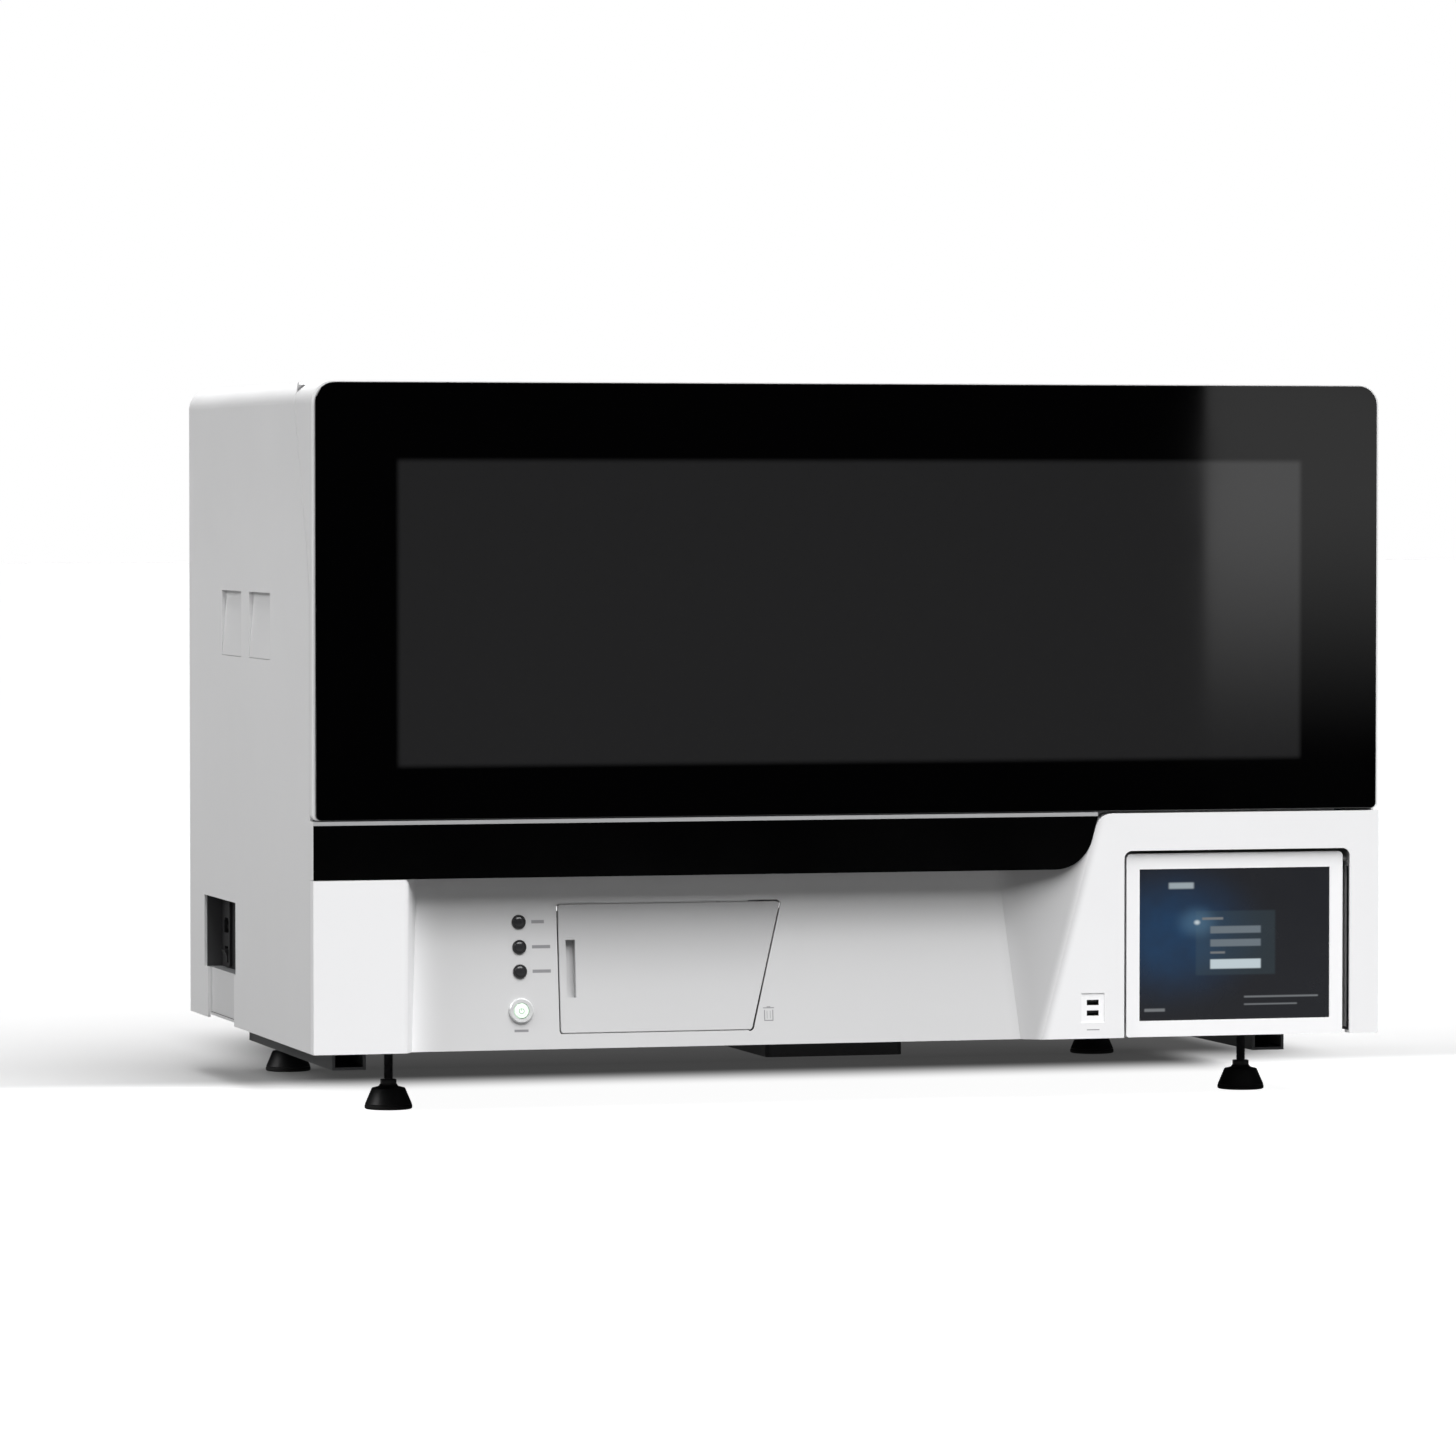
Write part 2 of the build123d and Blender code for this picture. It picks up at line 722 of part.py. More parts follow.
bay_back = bay_depth - half
inlet_y = front + bay_rear - inlet_inset
inlet_panel = bay_back - 3.0
inlet_body_bottom = bay_bottom + 5
inlet_body_top = bay_top - 6
ports_y = front + bay_front + ports_inset
with BuildPart() as connector_bay:
    block((-inner_half, bay_back + bay_wall),
          (front + bay_front - bay_wall, front + bay_rear + bay_wall),
          (floor_top, bay_top + bay_wall))
    block((-half, bay_back), (front + bay_front, front + bay_rear), (bay_bottom, bay_top),
          Mode.SUBTRACT)
    block((-half, channel_depth - half), (front + channel_front, front + channel_rear),
          (floor_top, bay_bottom + 1),
          Mode.SUBTRACT)
    through = (bay_back - 1, bay_back + bay_wall + 1)
    block(through, (inlet_y - inlet_half_width, inlet_y + inlet_half_width),
          (inlet_body_bottom, inlet_body_top),
          Mode.SUBTRACT)
    block(through, (ports_y - ports_half_width, ports_y + ports_half_width), (ports_bottom, ports_top),
          Mode.SUBTRACT)

# Mains inlet and rocker share one snap-in housing.
rocker_pivot = bay_back + 4.0
with BuildPart() as power_inlet:
    block((inlet_panel, bay_back), (inlet_y - inlet_half_width - 3, inlet_y + inlet_half_width + 3),
          (inlet_body_bottom - 3, inlet_body_top + 3))
    fillet(power_inlet.edges().filter_by(Axis.X), 4)
    block((bay_back, bay_back + 28), (inlet_y - inlet_half_width, inlet_y + inlet_half_width),
          (inlet_body_bottom, inlet_body_top))
    with BuildSketch(Plane.YZ.offset(inlet_panel)) as socket:
        with Locations((inlet_y, inlet_z)):
            Rectangle(*socket_size)
            chamfer(socket.vertices().group_by(Axis.Y)[-1], 4)
    extrude(amount=socket_depth, mode=Mode.SUBTRACT)
    for y, z in ((inlet_y, inlet_z + 3), (inlet_y - 7, inlet_z - 2), (inlet_y + 7, inlet_z - 2)):
        block((inlet_panel + 3, inlet_panel + socket_depth), (y - 1, y + 1), (z - 2, z + 2))
    block((inlet_panel, bay_back + 16),
          (inlet_y - rocker_half_width - slide_gap, inlet_y + rocker_half_width + slide_gap),
          (rocker_z - rocker_half_height - 2, rocker_z + rocker_half_height + 2), Mode.SUBTRACT)
    rod((rocker_pivot, inlet_y - rocker_half_width - 1, rocker_z), (0, 1, 0), rocker_pin_radius,
        2 * rocker_half_width + 2)

# The rocker's face is a shallow V about its pivot; it is stored on one of its two rests.
with BuildPart() as rocker_form:
    with BuildSketch(Plane.XZ.offset(-(inlet_y - rocker_half_width))):
        with BuildLine():
            tilt = radians(switch_throw / 2)
            reach = rocker_half_height
            face = rocker_pivot - 8.5
            Polyline(
                (face, rocker_z),
                (face - reach * tan(tilt), rocker_z + reach),
                (rocker_pivot + 2, rocker_z + reach - 1),
                (rocker_pivot + 5, rocker_z),
                (rocker_pivot + 2, rocker_z - reach + 1),
                (face - reach * tan(tilt), rocker_z - reach),
                close=True,
            )
        make_face()
    extrude(amount=-2 * rocker_half_width)
    rod((rocker_pivot, inlet_y - rocker_half_width - 1, rocker_z), (0, 1, 0),
        rocker_pin_radius + pin_clearance,
        2 * rocker_half_width + 2, Mode.SUBTRACT)
rocker_axis = Axis((rocker_pivot, inlet_y, rocker_z), (0, 1, 0))
with BuildPart() as rocker_switch:
    add(rocker_form.part.rotate(rocker_axis, -switch_throw / 2))

with BuildPart() as data_ports:
    block((bay_back - 1.5, bay_back), (ports_y - ports_half_width - 3, ports_y + ports_half_width + 3),
          (ports_bottom - 3, ports_top + 3))
    block((bay_back, bay_back + 22), (ports_y - ports_half_width, ports_y + ports_half_width),
          (ports_bottom, ports_top))
    with BuildSketch(Plane.YZ.offset(bay_back - 1.5)):
        with Locations((ports_y - 18, 171)):
            Rectangle(*network_slot)
        with Locations((ports_y + 14, 180), (ports_y + 14, 162)):
            Rectangle(usb_slot_width, usb_slot_height)
    extrude(amount=14, mode=Mode.SUBTRACT)

# ---------------------------------------------------------------- controls

scoop_back = scoop_plane()
with BuildPart() as indicator_lamps:
    for point in lamp_points:
        with BuildSketch(scoop_back):
            with Locations(point):
                Circle(lamp_radius)
        extrude(amount=2.5)
    chamfer(indicator_lamps.faces().group_by(Axis.Y)[0].edges(), 1.0)
    with BuildSketch(scoop_back):
        with Locations(*lamp_points):
            Circle(lamp_stem_radius)
    extrude(amount=-lamp_length)

with BuildPart() as power_button_ring:
    with BuildSketch(scoop_back):
        with Locations(button_point):
            Circle(button_ring_radius)
    extrude(amount=3)
    chamfer(power_button_ring.faces().sort_by(Axis.Y)[0].edges(), 1.2)
    with BuildSketch(scoop_back):
        with Locations(button_point):
            Circle(button_ring_radius - 2)
    extrude(amount=-14)
    with BuildSketch(scoop_plane(-4)):
        with Locations(button_point):
            Circle(button_radius + slide_gap)
    extrude(amount=-15, mode=Mode.SUBTRACT)

with BuildPart() as power_button:
    with BuildSketch(scoop_plane(-3.5)):
        with Locations(button_point):
            Circle(button_radius)
    extrude(amount=-10)
    chamfer(power_button.faces().sort_by(Axis.Y)[0].edges(), 0.8)

with BuildPart() as usb_ports:
    block((usb_x - usb_plate_width / 2, usb_x + usb_plate_width / 2), (front + 0.8, front + 16),
          (usb_height - usb_plate_height / 2, usb_height + usb_plate_height / 2))
    for z in (usb_height - usb_pitch / 2, usb_height + usb_pitch / 2):
        slot = (usb_x - usb_slot_width / 2, usb_x + usb_slot_width / 2)
        block(slot, (front, front + 13), (z - usb_slot_height / 2, z + usb_slot_height / 2),
              Mode.SUBTRACT)
        block((usb_x - 5.8, usb_x + 5.8), (front + 3, front + 13), (z + 0.2, z + 1.8))

# ---------------------------------------------------------------- waste hatch and bin

pivot_behind = hatch_thickness + hatch_pivot_back
lug_foot = hatch_bottom + 8
lug_head = hatch_top - 8 - lug_height
pull_centre = on_scoop(hatch_left + pull_inset + pull_width / 2, (hatch_bottom + hatch_top) / 2)
with BuildPart() as access_door:
    extrude(hatch_outline(0, 0), -hatch_thickness)
    chamfer(access_door.faces().sort_by(Axis.Y)[0].edges(), 0.6)
    with BuildSketch(scoop_plane(hatch_thickness)):
        with Locations(pull_centre):
            Rectangle(pull_width + 4, pull_height + 4)
    extrude(amount=-(pull_depth - hatch_thickness + 2))
    with BuildSketch(scoop_back):
        with Locations(pull_centre):
            Rectangle(pull_width, pull_height)
    extrude(amount=-pull_depth, mode=Mode.SUBTRACT)
    for z in (lug_foot, lug_head):
        lug_plane = Plane(scoop_point(hatch_pivot_x, z, pivot_behind), x_dir=(1, 0, 0), z_dir=scoop_up)
        with BuildSketch(lug_plane):
            Circle(lug_radius)
            with Locations((0, -hatch_pivot_back / 2)):
                Rectangle(2 * lug_radius, hatch_pivot_back)
            Circle(hatch_pin_radius + pin_clearance, mode=Mode.SUBTRACT)
        extrude(amount=lug_height)

# Fixed brackets carry the two hinge pins; each hangs on the rear of the scoop wall.
with BuildPart() as access_door_hinges:
    for z in (hatch_bottom - 13, hatch_top + 3.5):
        arm_plane = Plane(scoop_point(hatch_pivot_x, z, cover_wall), x_dir=(1, 0, 0), z_dir=scoop_up)
        with BuildSketch(arm_plane):
            with Locations((0, 7)):
                Rectangle(16, 14)
        extrude(amount=9)
    low = scoop_point(hatch_pivot_x, hatch_bottom - 12, pivot_behind)
    high = scoop_point(hatch_pivot_x, hatch_top + 12, pivot_behind)
    rod(low, scoop_up, hatch_pin_radius, 20 + lug_height)
    rod(high, scoop_up * -1, hatch_pin_radius, 20 + lug_height)

bin_left = hatch_left + 6
bin_right = hatch_pivot_x - 14
bin_front = front + scoop_foot_depth + 38
with BuildPart() as waste_bin:
    block((bin_left, bin_right), (bin_front, bin_front + bin_depth), (floor_top, hatch_top - 22))
    fillet(waste_bin.edges().filter_by(Axis.Z), 8)
    offset(amount=-bin_wall, openings=waste_bin.faces().sort_by(Axis.Z)[-1:])
    block((bin_left - 3, bin_left), (bin_front + 20, bin_front + bin_depth - 20),
          (hatch_top - 26, hatch_top - 22))
    block((bin_right, bin_right + 3), (bin_front + 20, bin_front + bin_depth - 20),
          (hatch_top - 26, hatch_top - 22))

# ---------------------------------------------------------------- touch screen

screen_front = front + screen_recess
screen_pivot_y = screen_front + screen_pivot_radius
screen_pivot_z = screen_top - screen_pivot_radius
screen_back = screen_front + screen_thickness
display_middle = (screen_left + screen_right) / 2
display_top = screen_top - display_drop
bezel_half = display_width / 2 + bezel_lip
with BuildPart() as screen_housing:
    with BuildSketch(Plane.YZ.offset(screen_left)):
        with BuildLine():
            Polyline(
                (screen_pivot_y, screen_top),
                (screen_front, screen_top),
                (screen_front, ground_gap),
                (screen_back - 8, ground_gap),
                (screen_back, ground_gap + 14),
                (screen_back, screen_pivot_z - 26),
                (screen_pivot_y + screen_pivot_radius, screen_pivot_z),
            )
            JernArc((screen_pivot_y + screen_pivot_radius, screen_pivot_z), (0, 1), screen_pivot_radius, 90)
        make_face()
    extrude(amount=screen_right - screen_left)
    with BuildSketch(front_plane) as face:
        with Locations((display_middle, ground_gap)):
            Rectangle(screen_right - screen_left, screen_top - ground_gap,
                      align=(Align.CENTER, Align.MIN))
        fillet(face.vertices().group_by(Axis.Y)[-1], screen_corner_radius)
        fillet(face.vertices().group_by(Axis.Y)[0], screen_chin_radius)
    extrude(amount=-screen_recess - screen_thickness, mode=Mode.INTERSECT)
    block((screen_left + 3, screen_right - 3), (screen_front + 7, screen_back - 3),
          (ground_gap + 17, screen_pivot_z - 24), Mode.SUBTRACT)
    block((display_middle - bezel_half, display_middle + bezel_half),
          (screen_front + 1.2, screen_front + 8),
          (display_top - display_height - bezel_lip, display_top + bezel_lip), Mode.SUBTRACT)
    block((display_middle - display_width / 2, display_middle + display_width / 2),
          (front, screen_front + 3),
          (display_top - display_height, display_top), Mode.SUBTRACT)
    for x in (screen_left, screen_right - 14):
        rod((x, screen_pivot_y, screen_pivot_z), (1, 0, 0), screen_pin_radius + pin_clearance, 14,
            Mode.SUBTRACT)

with BuildPart() as display_panel:
    block((display_middle - bezel_half, display_middle + bezel_half),
          (screen_front + 1.2, screen_front + 7),
          (display_top - display_height - bezel_lip, display_top + bezel_lip))

# Fixed bay behind the screen, with the two pins it tilts on.
with BuildPart() as screen_bay:
    x_span = (screen_notch[0] - 2, screen_notch[1] + 2)
    bay_deep = front + sill_front
    block((x_span[0], x_span[1]), (return_back, bay_deep), (floor_top, screen_notch_top + 2))
    block((x_span[0] + 2, x_span[1] - 2), (front, bay_deep - 2), (ground_gap, screen_notch_top),
          Mode.SUBTRACT)
    for side in (-1, 1):
        wall = x_span[0] + 2 if side < 0 else x_span[1] - 2
        inside = screen_left + 12 if side < 0 else screen_right - 12
        rod((wall, screen_pivot_y, screen_pivot_z), (-side, 0, 0), screen_pin_radius,
            abs(inside - wall))
        block((wall, wall + side * 2), (screen_pivot_y - 6, return_back + 1),
              (screen_pivot_z - 8, screen_pivot_z + 8))

# ---------------------------------------------------------------- door

door_cavity_front = front + glass_thickness + cover_wall
hood_top_inner = height - cover_wall


def door_front(inset, plane):
    """Front outline of the door frame, inset all round."""
    with BuildSketch(plane) as outline:
        with Locations((0, (height + door_bottom) / 2)):
            Rectangle(width - 2 * inset, height - door_bottom - 2 * inset)
        fillet(outline.vertices().group_by(Axis.Y)[-1], side_edge_radius - inset)
        fillet(outline.vertices().group_by(Axis.Y)[0], door_bottom_radius - inset)
    return outline.sketch


glass_back_plane = front_plane.offset(-glass_thickness)
cavity_plane = front_plane.offset(glass_thickness * -1 - cover_wall)
door_cheek = extrude(door_side(0), half + 1, both=True)
with BuildPart() as door_frame:
    extrude(door_front(0, glass_back_plane), -(hinge_axis_back + hinge_radius))
    add(door_cheek, mode=Mode.INTERSECT)
    extrude(door_front(cover_wall, cavity_plane), -(hinge_axis_back + hinge_radius), mode=Mode.SUBTRACT)
    with BuildSketch(front_plane):
        with Locations((0, window_bottom + window_height / 2)):
            Rectangle(window_width, window_height)
    extrude(amount=-glass_thickness - cover_wall, mode=Mode.SUBTRACT)
    # the rear lip of the hood curls down about the hinge axis
    with BuildSketch(Plane.YZ):
        with Locations((hinge_y, hinge_z)):
            Circle(hinge_radius)
            Circle(hinge_radius - cover_wall, mode=Mode.SUBTRACT)
            Rectangle(hinge_radius, hinge_radius, align=(Align.MIN, Align.MIN), mode=Mode.INTERSECT)
    extrude(amount=inner_half, both=True)

with BuildPart() as door_glass:
    with BuildSketch(front_plane):
        glass_width = width - 2 * glass_inset
        with Locations((0, (height - glass_top_inset + door_bottom) / 2)):
            Rectangle(glass_width, height - glass_top_inset - door_bottom)
    extrude(amount=-glass_thickness)
    fillet(door_glass.edges().filter_by(Axis.Y).group_by(Axis.Z)[-1], side_edge_radius - glass_inset / 2)
    fillet(door_glass.edges().filter_by(Axis.Y).group_by(Axis.Z)[0], door_bottom_radius)
    chamfer(door_glass.faces().sort_by(Axis.Y)[0].edges(), 0.6)

# Three friction hinges: each has a knuckle on an arm from the hood, between the two
# ears of a fixed bracket that reaches up from the beam behind it.
arm_foot_y = front + glass_thickness + cover_wall
hinge_middles = (-hinge_spread, 0.0, hinge_spread)
with BuildPart() as door_hinge_arms:
    for x in hinge_middles:
        with BuildSketch(Plane.YZ.offset(x - knuckle_length / 2)):
            Polygon(
                (arm_foot_y, hood_top_inner),
                (arm_foot_y, hood_top_inner - 34),
                (arm_foot_y + 10, hood_top_inner - 30),
                (hinge_y - 20, hood_top_inner - 12),
                (hinge_y, hinge_z - 4),
                (hinge_y, hood_top_inner),
                align=None,
            )
            with Locations((hinge_y, hinge_z)):
                Circle(knuckle_radius)
                Circle(door_pin_radius + pin_clearance, mode=Mode.SUBTRACT)
        extrude(amount=knuckle_length)

with BuildPart() as door_hinge_brackets:
    for x in hinge_middles:
        for side in (-1, 1):
            near = x + side * (knuckle_length / 2 + slide_gap)
            with BuildSketch(Plane.YZ.offset(near)):
                Polygon(
                    (hinge_y - 6, hinge_z),
                    (hinge_y - 8, hinge_z - 14),
                    (hinge_y - 2, hinge_z - 28),
                    (post_y, hinge_z - 28),
                    (post_y, hinge_z - 16),
                    (hinge_y - 1, hinge_z - 16),
                    (hinge_y - 1, hinge_z - 4),
                    align=None,
                )
                with Locations((hinge_y, hinge_z)):
                    Circle(knuckle_radius - 1)
                    Circle(door_pin_radius, mode=Mode.SUBTRACT)
            extrude(amount=side * ear_width)
        reach = knuckle_length / 2 + slide_gap + ear_width
        block((x - reach - 12, x + reach + 12), (post_y - 3, post_y), (top_beam_z, hinge_z - 16))

with BuildPart() as door_hinge_pins:
    for x in hinge_middles:
        reach = knuckle_length / 2 + slide_gap + ear_width
        rod((x - reach, hinge_y, hinge_z), (1, 0, 0), door_pin_radius, 2 * reach)

# ---------------------------------------------------------------- seal

with BuildPart() as door_seal:
    with BuildSketch(Plane.XZ.offset(-rim_front)):
        with Locations((0, (door_bottom + 7 + rim_top - 4) / 2)):
            RectangleRounded(2 * (chamber_half + 12), rim_top - 4 - door_bottom - 7, 12)
            RectangleRounded(2 * (chamber_half + 2), rim_top - 4 - door_bottom - 27, 6, mode=Mode.SUBTRACT)
    extrude(amount=rim_front - door_cavity_front - body_gap)

# ---------------------------------------------------------------- deck

nest_places = [(nest_x + i * nest_pitch_x, nest_y + j * nest_pitch_y)
               for i in range(nest_columns) for j in range(2)]
with BuildPart() as plate_nests:
    with BuildSketch(Plane.XY.offset(deck_top)):
        with Locations(*nest_places):
            RectangleRounded(*nest_size, 4)
    extrude(amount=nest_height)
    chamfer(plate_nests.faces().group_by(Axis.Z)[-1].edges(), 1)

# Four guide blocks round each nest hold a plate's skirt.
guide_x = plate_length / 2 + plate_clearance + guide_thickness / 2
guide_y = plate_width / 2 + plate_clearance + guide_thickness / 2
with BuildPart() as nest_guides:
    for x, y in nest_places:
        with BuildSketch(Plane.XY.offset(deck_top + nest_height)):
            with Locations((x - guide_x, y), (x + guide_x, y)):
                Rectangle(guide_thickness, 36)
            with Locations((x, y - guide_y), (x, y + guide_y)):
                Rectangle(60, guide_thickness)
        extrude(amount=guide_height)

with BuildPart() as heater_block:
    with BuildSketch(Plane.XY.offset(deck_top)):
        with Locations((magnet_x, magnet_y)):
            Rectangle(*heater_size)
    extrude(amount=heater_height)
    with BuildSketch(Plane.XY.offset(deck_top + heater_height)):
        with Locations((magnet_x, magnet_y)):
            Rectangle(plate_length + 2 * plate_clearance, plate_width + 2 * plate_clearance)
    extrude(amount=-heater_recess, mode=Mode.SUBTRACT)
    fillet(heater_block.edges().filter_by(Axis.Z).sort_by(Axis.X)[0:2], 3)

# ---------------------------------------------------------------- gantry

rail_reach = chamber_half - 10
gantry_z = arm_bottom + 14
rail_front_face = chamber_back - 46
with BuildPart() as gantry_beam:
    block((-rail_reach, rail_reach), (chamber_back - 40, chamber_back), (gantry_z - 25, gantry_z + 45))
    for z in (gantry_z - 12, gantry_z + 32):
        block((-rail_reach, rail_reach), (rail_front_face, chamber_back - 40), (z - 6, z + 6))

carriage_back = rail_front_face - slide_gap
with BuildPart() as x_carriage:
    block((gantry_rest_x - carriage_half, gantry_rest_x + carriage_half),
          (carriage_back - 14, carriage_back),
          (gantry_z - 25, gantry_z + 45))
    for z in (gantry_z - 12, gantry_z + 32):
        for side in (-1, 1):
            low = z + side * (6 + slide_gap)
            block((gantry_rest_x - carriage_half, gantry_rest_x + carriage_half),
                  (carriage_back, carriage_back + 5), (low, low + side * 5))
    block((gantry_rest_x - arm_half, gantry_rest_x + arm_half),
          (carriage_back - 14 - arm_length, carriage_back - 14),
          (arm_bottom, arm_bottom + 34))
    block((gantry_rest_x + arm_half, gantry_rest_x + arm_half + 5),
          (carriage_back - 14 - arm_length, carriage_back - 14), (arm_bottom + 11, arm_bottom + 23))

head_y = carriage_back - 14 - 52.0
head_left = gantry_rest_x + arm_half + 5 + slide_gap
with BuildPart() as y_carriage:
    block((head_left, head_left + 12), (head_y - 35, head_y + 35), (arm_bottom - 22, arm_bottom + 48))
    for z in (arm_bottom + 11 - slide_gap, arm_bottom + 23 + slide_gap):
        low = z if z > arm_bottom + 17 else z - 5
        block((head_left - 4, head_left), (head_y - 35, head_y + 35), (low, low + 5))
    block((head_left + 12, head_left + 18), (head_y - 7, head_y + 7),
          (arm_bottom - 22, arm_bottom + 48))

z_left = head_left + 18 + slide_gap
with BuildPart() as pipette_head:
    block((z_left, z_left + 14), (head_y - 42, head_y + 42), (head_bottom + 60, arm_bottom + 76))
    for side in (-1, 1):
        near = head_y + side * (7 + slide_gap)
        block((z_left - 5, z_left), (near, near + side * 5), (arm_bottom - 22, arm_bottom + 70))
    block((z_left, z_left + 44), (head_y - 42, head_y + 42), (head_bottom, head_bottom + 60))
    fillet(pipette_head.edges().filter_by(Axis.Z).sort_by(Axis.X)[-2:], 6)
    for i in range(channel_count):
        y = head_y + (i - (channel_count - 1) / 2) * channel_pitch
        with BuildSketch(Plane(origin=(z_left + 26, y, 0), x_dir=(1, 0, 0), z_dir=(0, -1, 0))):
            Polygon(
                (0, head_bottom), (3.6, head_bottom), (3.6, head_bottom - 22), (2.6, head_bottom - 24),
                (2.2, head_bottom - channel_length), (0, head_bottom - channel_length), align=None,
            )
        revolve(axis=Axis((z_left + 26, y, 0), (0, 0, 1)))

# ---------------------------------------------------------------- magnetic rod unit

with BuildPart() as magnet_column:
    block((magnet_x - column_half, magnet_x + column_half),
          (rail_front_face - 24, rail_front_face - slide_gap),
          (deck_top, gantry_z + 70))
    for side in (-1, 1):
        x = magnet_x + side * 40
        block((x - 6, x + 6), (rail_front_face - 30, rail_front_face - 24),
              (deck_top + 60, gantry_z + 70))

head_back = rail_front_face - 30 - slide_gap
plate_front = magnet_y - 48.0
with BuildPart() as rod_head:
    block((magnet_x - 56, magnet_x + 56), (head_back - 12, head_back),
          (rod_plate_z - 4, rod_plate_z + 50))
    block((magnet_x - 64, magnet_x + 64), (plate_front, head_back - 12),
          (rod_plate_z, rod_plate_z + 14))
    with BuildSketch(Plane.XY.offset(rod_plate_z)):
        with Locations((magnet_x, magnet_y)):
            with GridLocations(well_pitch, well_pitch, well_columns, well_rows):
                Circle(magnet_rod_radius)
    extrude(amount=-rod_length)

with BuildPart() as sleeve_carrier:
    block((magnet_x - 56, magnet_x + 56), (head_back - 12, head_back), (sleeve_z - 46, sleeve_z + 4))
    block((magnet_x - 66, magnet_x + 66), (plate_front - 2, head_back - 12),
          (sleeve_z - 4, sleeve_z + 4))
    block((magnet_x - 57, magnet_x + 57), (magnet_y - 38, magnet_y + 38),
          (sleeve_z - 5, sleeve_z + 5), Mode.SUBTRACT)

# ---------------------------------------------------------------- lamps, electronics, fans

uv_z = top_beam_z - liner - 16
with BuildPart() as uv_lamp:
    rod((-uv_half, uv_y, uv_z), (1, 0, 0), 8, 2 * uv_half)
    for side in (-1, 1):
        block((side * uv_half, side * (uv_half + 16)), (uv_y - 11, uv_y + 11),
              (uv_z - 11, top_beam_z - liner))

with BuildPart() as power_supply:
    block((supply_left, supply_left + supply_size[0]),
          (back - supply_rear - supply_size[1], back - supply_rear),
          (floor_top, floor_top + supply_size[2]))
    fillet(power_supply.edges().filter_by(Axis.Z), 2)

board_y = chamber_back + liner + 8
with BuildPart() as control_board:
    block((-440, -220), (board_y, board_y + 1.6), (380, 540))
    for x in (-430, -230):
        for z in (390, 530):
            rod((x, chamber_back + liner, z), (0, 1, 0), 3, 8)
    for x, z, w, h in ((-380, 480, 34, 34), (-300, 500, 22, 22), (-300, 420, 40, 16), (-400, 410, 18, 24)):
        block((x - w / 2, x + w / 2), (board_y + 1.6, board_y + 6), (z - h / 2, z + h / 2))

fan_back = back - cover_wall
with BuildPart() as fan_frames:
    for x in (-fan_x, fan_x):
        with BuildSketch(Plane.XZ.offset(-fan_back)):
            with Locations((x, fan_z)):
                RectangleRounded(2 * fan_half, 2 * fan_half, 6)
                Circle(fan_opening + 3, mode=Mode.SUBTRACT)
        extrude(amount=fan_depth)
        with BuildSketch(Plane.XZ.offset(-fan_back + fan_depth)):
            with Locations((x, fan_z)):
                Circle(fan_hub_radius)
                Rectangle(4, 2 * fan_opening + 8)
                Rectangle(2 * fan_opening + 8, 4)
        extrude(amount=-3)
        rod((x, fan_back - fan_depth + 3, fan_z), (0, 1, 0), 3, fan_depth - 6)

rotors = {}
for name, x in (("fan_rotor_left", -fan_x), ("fan_rotor_right", fan_x)):
    hub_start = fan_back - fan_depth + 4
    with BuildPart() as rotor:
        rod((x, hub_start, fan_z), (0, 1, 0), fan_hub_radius - 1, 17)
        for i in range(blade_count):
            turn = radians(i * 360 / blade_count)
            radial = Vector(cos(turn), 0, sin(turn))
            root = Vector(x, hub_start + 8.5, fan_z) + radial * 17
            with BuildSketch(Plane(origin=root, x_dir=(0, 1, 0), z_dir=radial)):
                Rectangle(13, 1.6, rotation=38)
            extrude(amount=fan_opening - 18)
        rod((x, hub_start - 1, fan_z), (0, 1, 0), 3 + pin_clearance, 30, Mode.SUBTRACT)
    rotors[name] = rotor

with BuildPart() as exhaust_filter:
    block((-150, 150), (chamber_back + liner, chamber_back + liner + 60),
          (filter_bottom, filter_bottom + 180))
    fillet(exhaust_filter.edges().filter_by(Axis.Y), 4)

with BuildPart() as cover_screws:
    for x, z in screw_places:
        rod((x, back - screw_sink, z), (0, 1, 0), screw_radius, screw_sink)

# ---------------------------------------------------------------- write the parts

pieces = {
    "left_side_panel": left_side_panel,
    "right_side_panel": right_side_panel,
    "finger_grips": finger_grips,
    "top_cover": top_cover,
    "rear_panel": rear_panel,
    "lower_fascia": lower_fascia,
    "front_band": front_band,
    "trim_strip": trim_strip,
    "base_plate": base_plate,
    "base_rails": base_rails,
    "underside_cover": underside_cover,
    **feet,
    "foot_lock_nuts": foot_lock_nuts,
    "frame_posts": frame_posts,
    "frame_beams": frame_beams,
    "work_deck": work_deck,
    "chamber_back_wall": chamber_back_wall,
    "chamber_side_walls": chamber_side_walls,
    "chamber_ceiling": chamber_ceiling,
    "connector_bay": connector_bay,
    "power_inlet": power_inlet,
    "rocker_switch": rocker_switch,
    "data_ports": data_ports,
    "indicator_lamps": indicator_lamps,
    "power_button_ring": power_button_ring,
    "power_button": power_button,
    "usb_ports": usb_ports,
    "access_door": access_door,
    "access_door_hinges": access_door_hinges,
    "waste_bin": waste_bin,
    "screen_housing": screen_housing,
    "display_panel": display_panel,
    "screen_bay": screen_bay,
    "door_frame": door_frame,
    "door_glass": door_glass,
    "door_hinge_arms": door_hinge_arms,
    "door_hinge_brackets": door_hinge_brackets,
    "door_hinge_pins": door_hinge_pins,
    "door_seal": door_seal,
    "plate_nests": plate_nests,
    "nest_guides": nest_guides,
    "heater_block": heater_block,
    "gantry_beam": gantry_beam,
    "x_carriage": x_carriage,
    "y_carriage": y_carriage,
    "pipette_head": pipette_head,
    "magnet_column": magnet_column,
    "rod_head": rod_head,
    "sleeve_carrier": sleeve_carrier,
    "uv_lamp": uv_lamp,
    "power_supply": power_supply,
    "control_board": control_board,
    "fan_frames": fan_frames,
    **rotors,
    "exhaust_filter": exhaust_filter,
    "cover_screws": cover_screws,
}
